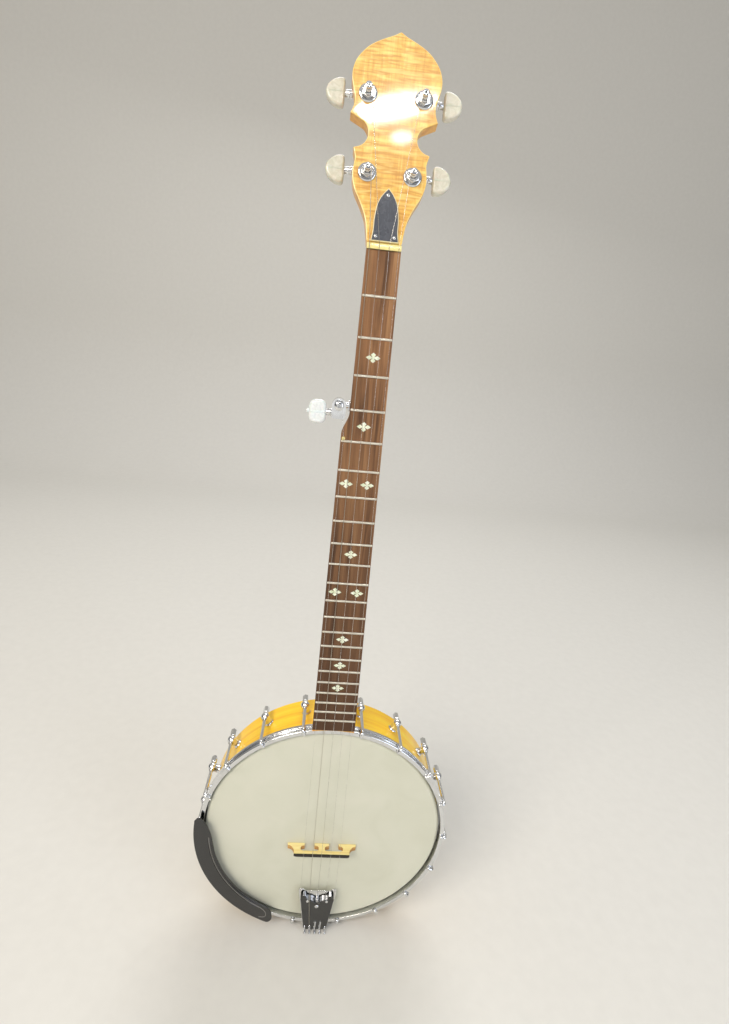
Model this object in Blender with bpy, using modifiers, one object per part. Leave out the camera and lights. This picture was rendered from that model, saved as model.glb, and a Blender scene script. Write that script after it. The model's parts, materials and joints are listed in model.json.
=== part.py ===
"""Open-back five-string banjo with an 11 inch pot, 18 brackets and a 22-fret neck.

Metres, +Z up along the neck, the head and fingerboard facing -Y, +X to the right seen from the front.
The origin is the lowest point of the rim, where a stand's cradle holds the pot, level with the middle
of the rim's depth. Inside the pot's own frame a place is (x, h, z): h is the distance behind the front
edge of the tension hoop, and z is measured from the pot's centre up the neck.
"""
import math

import bmesh
import bpy
from mathutils import Matrix, Vector

MM = 0.001

# Clearances
SEAT_GAP = 0.3 * MM          # between pieces that touch
RUN_GAP = 0.08 * MM          # radial, between a turning shaft and its hole
ROUND_SIDES = 12             # of small shafts and their holes

# Pot
RIM_RADIUS = 139.7 * MM      # an 11 inch head
RIM_WALL = 12.5 * MM
RIM_DEPTH = 58.5 * MM
RING_SEGMENTS = 48
TONE_RING_SECTION = 3.2 * MM     # half the tone ring's section
TONE_RING_SIDES = 8
HEAD_SKIN = 0.5 * MM
HEAD_SINK = 3.0 * MM         # the head lies this far behind the hoop's front edge
HEAD_COLLAR = 12.0 * MM      # how far the skin's collar reaches behind the hoop's front edge
FLESH_WIDTH = 4.8 * MM
FLESH_HEIGHT = 4.2 * MM
HOOP_WALL = 5.3 * MM
HOOP_HEIGHT = 10.0 * MM
HOOP_PLAY = 1.7 * MM         # round the head's collar
CRADLE_DEPTH = 40.0 * MM     # from the hoop's front edge back to the origin

# Brackets
BRACKET_ANGLES = (12.9, 32.3, 52.4, 70.5, 90.4, 110.5, 130.0, 148.7, 168.7)
HOOK_RADIUS = 2.0 * MM
CLAW_RISE = 1.4 * MM         # centre of the claw in front of the hoop's front edge
CLAW_REACH = 5.6 * MM        # how far the claw reaches in over the hoop
NOTCH_WIDTH = 4.9 * MM
SHOE_DEPTH = 44.5 * MM       # shoe's centre behind the hoop's front edge
SHOE_RADIUS = 5.2 * MM
SHOE_LENGTH = 13.6 * MM
SHOE_FOOT_RADIUS = 4.2 * MM
BRACKET_NUT_RADIUS = 3.6 * MM
BRACKET_NUT_END = 62.5 * MM
BOLT_RADIUS = 2.0 * MM
BOLT_HEAD_RADIUS = 4.0 * MM
BOLT_HEAD_HEIGHT = 2.4 * MM

# Neck and fingerboard
SCALE_LENGTH = 667.0 * MM
BRIDGE_BELOW_CENTRE = 23.0 * MM
STRING_COMPENSATION = 2.0 * MM
FRET_COUNT = 22
FRET_WIDTH = 2.3 * MM
FRET_HEIGHT = 1.1 * MM
FRET_END_INSET = 0.5 * MM
FINGERBOARD_RISE = 7.3 * MM      # fingerboard's face in front of the hoop's front edge
FINGERBOARD_THICKNESS = 5.5 * MM
FINGERBOARD_END_PLAY = 4.9 * MM  # from the fingerboard's end to the hoop
NUT_HALF_WIDTH = 18.0 * MM       # half the full width there, as if the neck had no step
HEEL_HALF_WIDTH = 23.7 * MM      # half the width where the fingerboard ends
FIFTH_STEP = 6.0 * MM            # how much narrower the neck is above the fifth string's pip
FIFTH_STEP_START = 3.5 * MM      # below the fourth fret
FIFTH_STEP_END = 6.0 * MM        # above the fifth fret
NECK_DEPTH_AT_NUT = 14.5 * MM
NECK_DEPTH_AT_HEEL = 19.0 * MM
HEEL_DEPTH = 60.0 * MM
HEEL_LENGTH = 78.0 * MM
HEEL_PINCH = 0.75                # how much the heel narrows towards its cap
NECK_IN_HEADSTOCK = 16.0 * MM    # how far the neck's round back runs on into the headstock
NECK_ARC_POINTS = 12
NUT_THICKNESS = 5.4 * MM
NUT_RISE = 1.6 * MM              # nut's top in front of the fingerboard's face
PIP_RADIUS = 1.7 * MM
PIP_HEIGHT = 1.9 * MM
PIP_BEHIND_FRET = 2.6 * MM
PIP_FROM_EDGE = 2.4 * MM

# Headstock
HEADSTOCK_TILT = math.radians(14.0)
HEADSTOCK_THICKNESS = 11.5 * MM
OVERLAY_THICKNESS = 1.5 * MM
# half outline from the nut to the tip: half width, distance from the nut
HEADSTOCK_HALF = [(8.0, -8.0), (12.6, -4.5), (15.1, 0.5), (16.2, 8.0), (17.9, 18.0), (20.7, 26.0), (24.6, 34.0),
                  (28.4, 41.0), (31.0, 48.0), (32.1, 55.0), (31.6, 62.5), (30.9, 69.0), (32.9, 76.8)]
HEADSTOCK_CROWN = [(37.6, 104.9), (35.2, 111.5), (34.9, 118.0), (36.6, 125.5), (38.4, 133.5),
                   (38.1, 141.5), (34.6, 150.5), (26.4, 160.0), (16.6, 166.2), (5.6, 171.2)]
HEADSTOCK_TIP = 174.5 * MM
NOTCH_CENTRE = (33.3 * MM, 89.5 * MM)
NOTCH_RADIUS = 12.1 * MM
NOTCH_START = math.radians(-102.0)
NOTCH_END = math.radians(-232.0)
NOTCH_POINTS = 8
COVER_HALF = [(12.2, 0.6), (11.0, 9.5), (10.8, 18.0), (9.9, 26.5), (8.3, 33.4), (4.8, 40.0), (0.0, 45.5)]
COVER_THICKNESS = 2.0 * MM
COVER_SCREWS = [(0.0, 39.5), (-8.1, 4.8), (8.1, 4.8)]
COVER_SCREW_RADIUS = 1.6 * MM
COVER_SCREW_RISE = 0.5 * MM

# Truss rod
TRUSS_ROD_RADIUS = 2.5 * MM
TRUSS_CHANNEL_DEPTH = 9.3 * MM
TRUSS_ROD_END_PLAY = 30.0 * MM   # from the rod's lower end to the fingerboard's end
TRUSS_NUT_RADIUS = 4.0 * MM
TRUSS_NUT_LENGTH = 9.0 * MM
TRUSS_NUT_START = 2.5 * MM       # beyond the string nut
POCKET_LENGTH = 26.0 * MM

# Tuners, in a frame on the post's axis with x towards the button, y behind the mounting face
POST_PLACES = {"upper": (24.0 * MM, 121.9 * MM), "lower": (19.6 * MM, 57.5 * MM)}
GEAR_TEETH = 14
GEAR_MODULE = 0.65 * MM
WORM_PITCH_RADIUS = 3.2 * MM
THREAD_TURNS = 4
THREAD_STEPS = 8
TOOTH_HALF_WIDTH = 0.37 * MM     # at the pitch line, so that the mesh keeps some backlash
TOOTH_SLOPE = 0.7
GEAR_WIDTH = 2.4 * MM
WORM_CORE_RADIUS = 2.6 * MM
THREAD_TIP_RADIUS = 3.6 * MM
THREAD_ROOT_RADIUS = 2.45 * MM
GEAR_TIP_RISE = 0.4 * MM
GEAR_ROOT_DROP = 0.55 * MM
POST_RADIUS = 3.0 * MM
POST_RISE = 11.0 * MM            # post's end in front of the overlay
POST_WAIST_RADIUS = 2.4 * MM
SLEEVE_WALL = 0.9 * MM
WASHER_RADIUS = 7.2 * MM
WASHER_THICKNESS = 1.2 * MM
HEX_RADIUS = 5.9 * MM
HEX_HEIGHT = 3.4 * MM
HOUSING_WALL = 1.1 * MM
HOUSING_CORNER = 0.5 * MM        # inside, on the worm's side
HOUSING_ARC_STEPS = 6
SHAFT_RADIUS = 2.2 * MM
TUBE_RADIUS = 3.6 * MM
TUBE_END = 15.2 * MM             # from the post's axis
COLLAR_RADIUS = 3.7 * MM
COLLAR_LENGTH = 3.6 * MM
BUTTON_WIDTH = 16.8 * MM
BUTTON_HEIGHT = 24.0 * MM
BUTTON_THICKNESS = 7.6 * MM
BUTTON_CENTRE = 28.0 * MM        # from the post's axis

# Fifth-string tuner
FIFTH_POST_FROM_EDGE = 10.4 * MM
FIFTH_POST_BEHIND_FRET = 2.6 * MM    # above the fourth fret, towards the nut
FIFTH_FACE = -2.8 * MM           # housing's front face behind the hoop's front edge
FIFTH_LID = 1.2 * MM
FIFTH_TUBE_END = 7.8 * MM        # from the post's axis
FIFTH_BUTTON_WIDTH = 16.7 * MM
FIFTH_BUTTON_HEIGHT = 22.5 * MM
FIFTH_BUTTON_CENTRE = 19.8 * MM
FIFTH_NUB_RADIUS = 2.4 * MM
FIFTH_NUB_RISE = 1.8 * MM
FIFTH_POST_RISE = 8.6 * MM
FIFTH_CAP_RADIUS = 4.4 * MM
FIFTH_CAP_HEIGHT = 2.2 * MM
FIFTH_STUB_RADIUS = 3.0 * MM
FIFTH_STUB_LENGTH = 8.0 * MM

# Coordinator rod and tailpiece
ROD_RADIUS = 4.0 * MM
ROD_DEPTH = 45.0 * MM            # behind the hoop's front edge
ROD_IN_HEEL = 11.0 * MM
ROD_NUT_RADIUS = 7.2 * MM
ROD_NUT_HEIGHT = 5.0 * MM
STRAP_WIDTH = 14.0 * MM
STRAP_THICKNESS = 1.6 * MM
STRAP_END_PLAY = 7.0 * MM        # strap beyond the rod's centre
BASE_THICKNESS = 1.4 * MM
BASE_RISE = 4.3 * MM             # base's front in front of the hoop's front edge
BASE_OVERHANG = 5.4 * MM         # beyond the hoop
TAIL_LENGTH = 68.0 * MM
TAIL_HALF_WIDE = 23.4 * MM
TAIL_HALF_NARROW = 14.4 * MM
TAIL_COVER_RISE = 5.3 * MM       # cover's face in front of the base
TAIL_COVER_SKIN = 1.2 * MM
TAIL_COVER_LENGTH = 50.0 * MM
TAIL_COVER_START = 6.4 * MM      # from the base's lower end
TAIL_PIN_RADIUS = 0.9 * MM
TAIL_PIN_HEIGHT = 2.6 * MM
TAIL_PIN_SPACING = 6.4 * MM
TAIL_PIN_INSET = 2.2 * MM
TAIL_SCREW_RADIUS = 2.4 * MM
TAIL_SCREW_RISE = 1.2 * MM
TAIL_SCREW_PLACE = 45.4 * MM     # from the base's lower end

# Armrest
REST_START = math.radians(83.5)      # angle from the neck, on the left
REST_END = math.radians(156.0)
REST_INNER = 17.4 * MM           # inside the hoop's outer wall
REST_OUTER = 4.9 * MM            # outside it
REST_THICKNESS = 2.4 * MM
REST_RISE = 4.6 * MM             # rest's underside in front of the hoop's front edge
REST_POINTS = 10
REST_CLAMP_ANGLES = (math.radians(100.5), math.radians(139.4))
REST_CLAMP_WIDTH = 8.0 * MM
REST_CLAMP_WALL = 2.0 * MM
REST_CLAMP_PAD = 4.5 * MM
REST_CLAMP_LIP = 1.4 * MM

# Bridge
BRIDGE_HEIGHT = 16.0 * MM
BRIDGE_FOOT_HALF = 41.4 * MM
BRIDGE_TOP_HALF = 33.5 * MM
BRIDGE_CAP_HALF = 31.0 * MM
BRIDGE_FOOT_THICKNESS = 6.4 * MM
BRIDGE_TOP_THICKNESS = 2.8 * MM
BRIDGE_CAP_HEIGHT = 2.4 * MM

# Strings: radius, and x at the bridge, the tailpiece's mouth and the nut
STRING_RADII = {"1": 0.13 * MM, "2": 0.16 * MM, "3": 0.21 * MM, "4": 0.29 * MM, "5": 0.13 * MM}
BRIDGE_STRING_SPACING = 10.8 * MM
MOUTH_STRING_SPACING = 10.7 * MM
NUT_STRING_SPACING = 8.5 * MM
STRING_RISE_IN_TAIL = 2.0 * MM   # in front of the tailpiece's base

# Places worked out from the sizes above
HEAD_BACK = HEAD_SINK + HEAD_SKIN
TONE_RING_CORNER = TONE_RING_SECTION / math.cos(math.pi / TONE_RING_SIDES)
HEAD_BEND = TONE_RING_CORNER + SEAT_GAP          # inside radius of the skin's bend over the tone ring
TONE_RING_DEPTH = HEAD_BACK + HEAD_BEND
TONE_RING_RADIUS = RIM_RADIUS - TONE_RING_SECTION
RIM_FRONT = TONE_RING_DEPTH + TONE_RING_SECTION + SEAT_GAP
RIM_BACK = RIM_FRONT + RIM_DEPTH
COLLAR_INNER = TONE_RING_RADIUS + HEAD_BEND
COLLAR_OUTER = COLLAR_INNER + HEAD_SKIN
FLESH_INNER = COLLAR_OUTER + SEAT_GAP
FLESH_FRONT = HOOP_HEIGHT + SEAT_GAP
HOOP_INNER = COLLAR_OUTER + HOOP_PLAY
HOOP_OUTER = HOOP_INNER + HOOP_WALL
POT_Z = RIM_RADIUS
NUT_Z = SCALE_LENGTH + STRING_COMPENSATION - BRIDGE_BELOW_CENTRE
FINGERBOARD_END = HOOP_OUTER + FINGERBOARD_END_PLAY
FINGERBOARD_LENGTH = NUT_Z - FINGERBOARD_END
NECK_FRONT = -FINGERBOARD_RISE + FINGERBOARD_THICKNESS + SEAT_GAP
NUT_TOP = -FINGERBOARD_RISE - NUT_RISE
NECK_X_AT_NUT = FIFTH_STEP / 2
OVERLAY_FACE = -(SEAT_GAP + OVERLAY_THICKNESS)
HOOK_CIRCLE = HOOP_OUTER + SEAT_GAP + HOOK_RADIUS
BRIDGE_TOP = HEAD_SINK - BRIDGE_HEIGHT
BASE_END = -(HOOP_OUTER + BASE_OVERHANG)
GEAR_PITCH_RADIUS = GEAR_MODULE * GEAR_TEETH / 2
WORM_OFFSET = GEAR_PITCH_RADIUS + WORM_PITCH_RADIUS
THREAD_PITCH = math.pi * GEAR_MODULE
GEAR_DEPTH = THREAD_TIP_RADIUS + 2 * SEAT_GAP    # gear's middle behind the mounting face
HOUSING_DEPTH = GEAR_DEPTH + THREAD_TIP_RADIUS + SEAT_GAP + HOUSING_WALL

SCENE = bpy.context.scene


def clear_scene():
    for old in list(bpy.data.objects):
        bpy.data.objects.remove(old)


def collection(name):
    made = bpy.data.collections.new(name)
    SCENE.collection.children.link(made)
    return made


def look(name, colour, metallic, roughness):
    """A Principled material; the colour is linear red, green, blue."""
    made = bpy.data.materials.new(name)
    made.use_nodes = True
    shader = made.node_tree.nodes["Principled BSDF"]
    shader.inputs["Base Color"].default_value = (*colour, 1.0)
    shader.inputs["Metallic"].default_value = metallic
    shader.inputs["Roughness"].default_value = roughness
    made.diffuse_color = (*colour, 1.0)
    return made


clear_scene()
PARTS = collection("open_back_banjo")
CUTTERS = collection("cutters")

MAPLE = look("maple", (0.80, 0.50, 0.12), 0.0, 0.35)
FLAMED = look("flamed_maple", (0.75, 0.46, 0.16), 0.0, 0.2)
ROSEWOOD = look("rosewood", (0.10, 0.045, 0.02), 0.0, 0.5)
BONE = look("bone", (0.85, 0.78, 0.55), 0.0, 0.4)
BLACK = look("black_gloss", (0.01, 0.01, 0.01), 0.0, 0.15)
CHROME = look("chrome", (0.80, 0.80, 0.80), 1.0, 0.12)
STEEL = look("steel", (0.55, 0.55, 0.55), 1.0, 0.3)
BRASS = look("brass", (0.70, 0.50, 0.20), 1.0, 0.3)
SKIN = look("frosted_head", (0.66, 0.66, 0.56), 0.0, 0.6)
PEARLOID = look("pearloid", (0.85, 0.83, 0.72), 0.0, 0.25)
EBONY = look("ebony", (0.015, 0.012, 0.01), 0.0, 0.4)


def empty(name, place, parent=None, tilt=0.0):
    made = bpy.data.objects.new(name, None)
    made.location = place
    made.rotation_euler = (tilt, 0.0, 0.0)
    made.parent = parent
    SCENE.collection.objects.link(made)
    return made


POT = empty("pot_frame", (0.0, -CRADLE_DEPTH, POT_Z))
HEADSTOCK = empty("headstock_frame", (NECK_X_AT_NUT, NECK_FRONT, NUT_Z + NUT_THICKNESS),
                  POT, -HEADSTOCK_TILT)


def new_piece(name, bm, parent=POT, place=(0, 0, 0), turn=(0, 0, 0)):
    """An object from a bmesh, in its parent's frame."""
    bmesh.ops.recalc_face_normals(bm, faces=bm.faces)
    mesh = bpy.data.meshes.new(name)
    bm.to_mesh(mesh)
    bm.free()
    made = bpy.data.objects.new(name, mesh)
    made.location = place
    made.rotation_euler = turn
    made.parent = parent
    PARTS.objects.link(made)
    return made


def box(name, low, high, parent=POT):
    bm = bmesh.new()
    bmesh.ops.create_cube(bm, size=1.0)
    low = Vector(low)
    high = Vector(high)
    bmesh.ops.scale(bm, vec=high - low, verts=bm.verts)
    bmesh.ops.translate(bm, vec=(low + high) / 2, verts=bm.verts)
    return new_piece(name, bm, parent)


def rod(name, start, end, radius, sides, parent=POT, end_radius=None, phase=0.0):
    """A cylinder, cone or prism between two points."""
    start = Vector(start)
    end = Vector(end)
    along = end - start
    bm = bmesh.new()
    bmesh.ops.create_cone(bm, cap_ends=True, segments=sides, radius1=radius,
                          radius2=radius if end_radius is None else end_radius, depth=along.length)
    bmesh.ops.rotate(bm, matrix=Matrix.Rotation(phase, 3, "Z"), verts=bm.verts)
    bmesh.ops.rotate(bm, matrix=along.to_track_quat("Z", "Y").to_matrix(), verts=bm.verts)
    bmesh.ops.translate(bm, vec=(start + end) / 2, verts=bm.verts)
    return new_piece(name, bm, parent)


def settle(piece, weld=0.00001 * MM):
    """Turn a curve or an object with modifiers into a plain mesh of the same name, in its parent's frame."""
    bpy.context.view_layer.update()
    depsgraph = bpy.context.evaluated_depsgraph_get()
    mesh = bpy.data.meshes.new_from_object(piece.evaluated_get(depsgraph), depsgraph=depsgraph)
    bm = bmesh.new()
    bm.from_mesh(mesh)
    bmesh.ops.remove_doubles(bm, verts=bm.verts, dist=weld)
    bmesh.ops.transform(bm, matrix=piece.matrix_basis, verts=bm.verts)
    bmesh.ops.recalc_face_normals(bm, faces=bm.faces)
    bm.to_mesh(mesh)
    bm.free()
    name = piece.name
    made = bpy.data.objects.new(name + "_mesh", mesh)
    made.parent = piece.parent
    PARTS.objects.link(made)
    bpy.data.objects.remove(piece)
    made.name = name
    return made


def plate(name, points, low, high, parent=POT):
    """A flat outline in x and z, filled, from depth low to depth high."""
    curve = bpy.data.curves.new(name, "CURVE")
    curve.dimensions = "2D"
    curve.fill_mode = "BOTH"
    curve.extrude = (high - low) / 2
    line = curve.splines.new("POLY")
    line.points.add(len(points) - 1)
    for point, (x, z) in zip(line.points, points):
        point.co = (x, z, 0.0, 1.0)
    line.use_cyclic_u = True
    made = bpy.data.objects.new(name, curve)
    made.location = (0.0, (low + high) / 2, 0.0)
    made.rotation_euler = (math.pi / 2, 0.0, 0.0)
    made.parent = parent
    PARTS.objects.link(made)
    return settle(made, 0.001 * MM)


def side_plate(name, points, low, high, parent=POT):
    """A flat outline in depth and z, filled, from x low to x high."""
    made = plate(name, points, -high, -low, parent)
    made.data.transform(Matrix.Rotation(math.pi / 2, 4, "Z"))
    return made


def tube(name, points, radius, parent=POT, resolution=1):
    """A wire of 4 + 2 * resolution sides along the points."""
    curve = bpy.data.curves.new(name, "CURVE")
    curve.dimensions = "3D"
    curve.bevel_depth = radius
    curve.bevel_resolution = resolution
    curve.use_fill_caps = True
    line = curve.splines.new("POLY")
    line.points.add(len(points) - 1)
    for point, place in zip(line.points, points):
        point.co = (*place, 1.0)
    made = bpy.data.objects.new(name, curve)
    made.parent = parent
    PARTS.objects.link(made)
    return settle(made, 0.001 * MM)


def turned(name, profile, steps, parent=POT, place=(0, 0, 0), turn=(0, 0, 0), closed=False):
    """A profile of (radius, height) turned round the object's own Z."""
    mesh = bpy.data.meshes.new(name)
    count = len(profile)
    edges = [(i, i + 1) for i in range(count - 1)]
    if closed:
        edges.append((count - 1, 0))
    mesh.from_pydata([(radius, 0.0, height) for radius, height in profile], edges, [])
    made = bpy.data.objects.new(name, mesh)
    made.location = place
    made.rotation_euler = turn
    made.parent = parent
    PARTS.objects.link(made)
    screw = made.modifiers.new("turn", "SCREW")
    screw.steps = steps
    screw.render_steps = steps
    screw.use_merge_vertices = True
    screw.merge_threshold = 0.01 * MM
    screw.use_normal_calculate = True
    return settle(made)


def pot_ring(name, profile, closed=True):
    """A ring round the pot's axis from (radius, depth behind the hoop's front edge) points."""
    front_up = [(radius, -depth) for radius, depth in profile]
    return turned(name, front_up, RING_SEGMENTS, turn=(math.pi / 2, 0.0, 0.0), closed=closed)


def boolean(piece, tool, operation, solver="EXACT"):
    step = piece.modifiers.new(operation.lower(), "BOOLEAN")
    step.operation = operation
    step.solver = solver
    step.object = tool


def join(piece, tools):
    """Unite the tools with the piece into one body and clear the tools away."""
    for tool in tools:
        boolean(piece, tool, "UNION")
    made = settle(piece)
    for tool in tools:
        bpy.data.objects.remove(tool)
    return made


def cut(piece, tools):
    """Cut the piece with tools that stay in the cutters' collection."""
    for tool in tools:
        boolean(piece, tool, "DIFFERENCE")
        if tool.name not in CUTTERS.objects:
            PARTS.objects.unlink(tool)
            CUTTERS.objects.link(tool)
            tool.hide_render = True
            tool.display_type = "WIRE"
    return piece


def finish(piece, material, smooth=False):
    """Give a piece its material, and smooth shading if it is round."""
    piece.data.materials.clear()
    piece.data.materials.append(material)
    if smooth and not piece.modifiers:
        piece.data.shade_smooth()
        piece.data.set_sharp_from_angle(angle=math.radians(35.0))
    return piece


def hole_radius(radius, gap, sides=ROUND_SIDES):
    """Corner radius of a hole with flat sides, so that the gap is kept at the middle of each side."""
    return (radius + gap) / math.cos(math.pi / sides)


def polar(radius, angle):
    """x and z at an angle from the neck, positive to the right."""
    return radius * math.sin(angle), radius * math.cos(angle)


def inside_rim(half):
    """How far from the pot's centre a flat face of this half width sits against the rim's inside."""
    nearest = (RIM_RADIUS - RIM_WALL) * math.cos(math.pi / RING_SEGMENTS)
    return math.sqrt(nearest * nearest - half * half) - SEAT_GAP


def headstock_point(x, y, z):
    """A place in the headstock's frame, in the pot's frame."""
    cosine = math.cos(HEADSTOCK_TILT)
    sine = math.sin(HEADSTOCK_TILT)
    return (x + NECK_X_AT_NUT,
            NECK_FRONT + y * cosine + z * sine,
            NUT_Z + NUT_THICKNESS - y * sine + z * cosine)


# Pot: rim, tone ring, head and hoops

def make_rim():
    inner = RIM_RADIUS - RIM_WALL
    rim = pot_ring("rim", [(RIM_RADIUS, RIM_FRONT), (RIM_RADIUS, RIM_BACK), (inner, RIM_BACK), (inner, RIM_FRONT)])
    tools = []
    for number, angle in enumerate(bracket_angles(), 1):
        inner_x, inner_z = polar(inner - RIM_WALL / 2, angle)
        outer_x, outer_z = polar(RIM_RADIUS + RIM_WALL / 2, angle)
        tools.append(rod(f"bolt_hole_{number:02d}", (inner_x, SHOE_DEPTH, inner_z), (outer_x, SHOE_DEPTH, outer_z),
                         hole_radius(BOLT_RADIUS, SEAT_GAP, 6), 6))
    for name, side in (("rod_hole_heel", 1), ("rod_hole_tail", -1)):
        tools.append(rod(name, (0, ROD_DEPTH, side * (inner - RIM_WALL / 2)),
                         (0, ROD_DEPTH, side * (RIM_RADIUS + RIM_WALL / 2)), hole_radius(ROD_RADIUS, SEAT_GAP), ROUND_SIDES))
    return finish(cut(rim, tools), MAPLE)


def make_tone_ring():
    profile = []
    for step in range(TONE_RING_SIDES):
        angle = (1 - 2 * step) * math.pi / TONE_RING_SIDES
        profile.append((TONE_RING_RADIUS + TONE_RING_CORNER * math.cos(angle),
                        TONE_RING_DEPTH - TONE_RING_CORNER * math.sin(angle)))
    return finish(pot_ring("tone_ring", profile), BRASS, True)


def make_head():
    outside = [(0.0, HEAD_SINK)]
    inside = [(0.0, HEAD_BACK)]
    steps = TONE_RING_SIDES // 2
    for step in range(steps + 1):
        angle = math.pi / 2 * step / steps
        for line, bend in ((outside, HEAD_BEND + HEAD_SKIN), (inside, HEAD_BEND)):
            line.append((TONE_RING_RADIUS + bend * math.sin(angle), TONE_RING_DEPTH - bend * math.cos(angle)))
    profile = outside + [(COLLAR_OUTER, HEAD_COLLAR), (COLLAR_INNER, HEAD_COLLAR)] + list(reversed(inside))
    return finish(pot_ring("head", profile, closed=False), SKIN)


def make_hoops():
    back = FLESH_FRONT + FLESH_HEIGHT
    outer = FLESH_INNER + FLESH_WIDTH
    flesh = pot_ring("flesh_hoop", [(outer, FLESH_FRONT), (outer, back), (FLESH_INNER, back),
                                    (FLESH_INNER, FLESH_FRONT)])
    finish(flesh, STEEL)
    hoop = pot_ring("tension_hoop", [(HOOP_OUTER, 0.0), (HOOP_OUTER, HOOP_HEIGHT), (HOOP_INNER, HOOP_HEIGHT),
                                     (HOOP_INNER, 0.0)])
    notch_floor = -CLAW_RISE + HOOK_RADIUS + SEAT_GAP
    tools = []
    for number, angle in enumerate(bracket_angles(), 1):
        notch = box(f"claw_notch_{number:02d}", (-NOTCH_WIDTH / 2, -notch_floor, HOOP_INNER - HOOP_WALL / 2),
                    (NOTCH_WIDTH / 2, notch_floor, HOOP_OUTER + HOOP_WALL / 2))
        notch.rotation_euler = (0.0, angle, 0.0)
        tools.append(notch)
    return finish(cut(hoop, tools), CHROME)


def bracket_angles():
    """All the brackets' angles from the neck, clockwise from the one on the neck's right."""
    right = [math.radians(angle) for angle in BRACKET_ANGLES]
    return right + [2 * math.pi - angle for angle in reversed(right)]


def make_brackets():
    """Eighteen equal brackets: claw hook, shoe, nut and the bolt through the rim."""
    claw_front = -CLAW_RISE
    bend = HOOK_RADIUS * 0.75
    hook = tube("bracket", [(0, SHOE_DEPTH, HOOK_CIRCLE), (0, claw_front + 2 * bend, HOOK_CIRCLE),
                            (0, claw_front + bend * 0.5, HOOK_CIRCLE - bend * 0.5),
                            (0, claw_front, HOOK_CIRCLE - 2 * bend),
                            (0, claw_front, HOOK_CIRCLE - HOOK_RADIUS - CLAW_REACH)], HOOK_RADIUS)
    bm = bmesh.new()
    bmesh.ops.create_uvsphere(bm, u_segments=8, v_segments=6, radius=SHOE_RADIUS)
    bmesh.ops.rotate(bm, matrix=Matrix.Rotation(math.pi / 2, 3, "X"), verts=bm.verts)
    bmesh.ops.scale(bm, vec=(1.0, SHOE_LENGTH / 2 / SHOE_RADIUS, 1.0), verts=bm.verts)
    bmesh.ops.translate(bm, vec=(0, SHOE_DEPTH, HOOK_CIRCLE), verts=bm.verts)
    shoe = new_piece("shoe", bm)
    inner = inside_rim(BOLT_HEAD_RADIUS)
    foot = rod("foot", (0, SHOE_DEPTH, RIM_RADIUS + SEAT_GAP), (0, SHOE_DEPTH, HOOK_CIRCLE), SHOE_FOOT_RADIUS, 8)
    bolt = rod("bolt", (0, SHOE_DEPTH, inner - BOLT_HEAD_HEIGHT / 2), (0, SHOE_DEPTH, HOOK_CIRCLE), BOLT_RADIUS, 6)
    bolt_head = rod("bolt_head", (0, SHOE_DEPTH, inner - BOLT_HEAD_HEIGHT), (0, SHOE_DEPTH, inner),
                    BOLT_HEAD_RADIUS, 6)
    nut = rod("bracket_nut", (0, SHOE_DEPTH, HOOK_CIRCLE), (0, BRACKET_NUT_END, HOOK_CIRCLE),
              BRACKET_NUT_RADIUS, 6)
    bracket = join(hook, [shoe, foot, bolt, bolt_head, nut])
    finish(bracket, CHROME, True)
    for number, angle in enumerate(bracket_angles(), 1):
        made = bpy.data.objects.new(f"bracket_{number:02d}", bracket.data)
        made.parent = POT
        made.rotation_euler = (0.0, angle, 0.0)
        PARTS.objects.link(made)
    bpy.data.objects.remove(bracket)


# Neck, fingerboard and what sits on them

def fret_distance(number):
    return SCALE_LENGTH * (1.0 - 2.0 ** (-number / 12.0))


def half_width(distance):
    """Half the neck's full width at a distance from the nut."""
    share = max(0.0, min(distance / FINGERBOARD_LENGTH, 1.0))
    return NUT_HALF_WIDTH + (HEEL_HALF_WIDTH - NUT_HALF_WIDTH) * share


def left_edge(distance):
    """The neck's left edge, which steps out to take the fifth string."""
    start = fret_distance(4) + FIFTH_STEP_START
    end = fret_distance(5) - FIFTH_STEP_END
    share = max(0.0, min((distance - start) / (end - start), 1.0))
    smooth = share * share * (3.0 - 2.0 * share)
    return -half_width(distance) + FIFTH_STEP * (1.0 - smooth)


def step_distances():
    start = fret_distance(4) + FIFTH_STEP_START
    end = fret_distance(5) - FIFTH_STEP_END
    return [start + (end - start) * share for share in (0.0, 0.25, 0.5, 0.75, 1.0)]


def make_fingerboard():
    left = [(left_edge(distance), NUT_Z - distance) for distance in [0.0, *step_distances(), FINGERBOARD_LENGTH]]
    right = [(half_width(FINGERBOARD_LENGTH), FINGERBOARD_END), (half_width(0.0), NUT_Z)]
    board = plate("fingerboard", left + right, -FINGERBOARD_RISE, -FINGERBOARD_RISE + FINGERBOARD_THICKNESS)
    bm = bmesh.new()
    sunk = FRET_HEIGHT / 2
    for number in range(1, FRET_COUNT + 1):
        distance = fret_distance(number)
        if distance > FINGERBOARD_LENGTH - FRET_WIDTH:
            continue
        low_x = left_edge(distance) + FRET_END_INSET
        high_x = half_width(distance) - FRET_END_INSET
        cube = bmesh.ops.create_cube(bm, size=1.0)["verts"]
        bmesh.ops.scale(bm, vec=(high_x - low_x, FRET_HEIGHT + sunk, FRET_WIDTH), verts=cube)
        front = [vert for vert in cube if vert.co.y < 0]
        bmesh.ops.scale(bm, vec=(1.0, 1.0, 0.45), verts=front)
        middle = ((low_x + high_x) / 2, -FINGERBOARD_RISE - FRET_HEIGHT + (FRET_HEIGHT + sunk) / 2, NUT_Z - distance)
        bmesh.ops.translate(bm, vec=middle, verts=cube)
    frets = new_piece("frets", bm)
    return finish(join(board, [frets]), ROSEWOOD)


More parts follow.
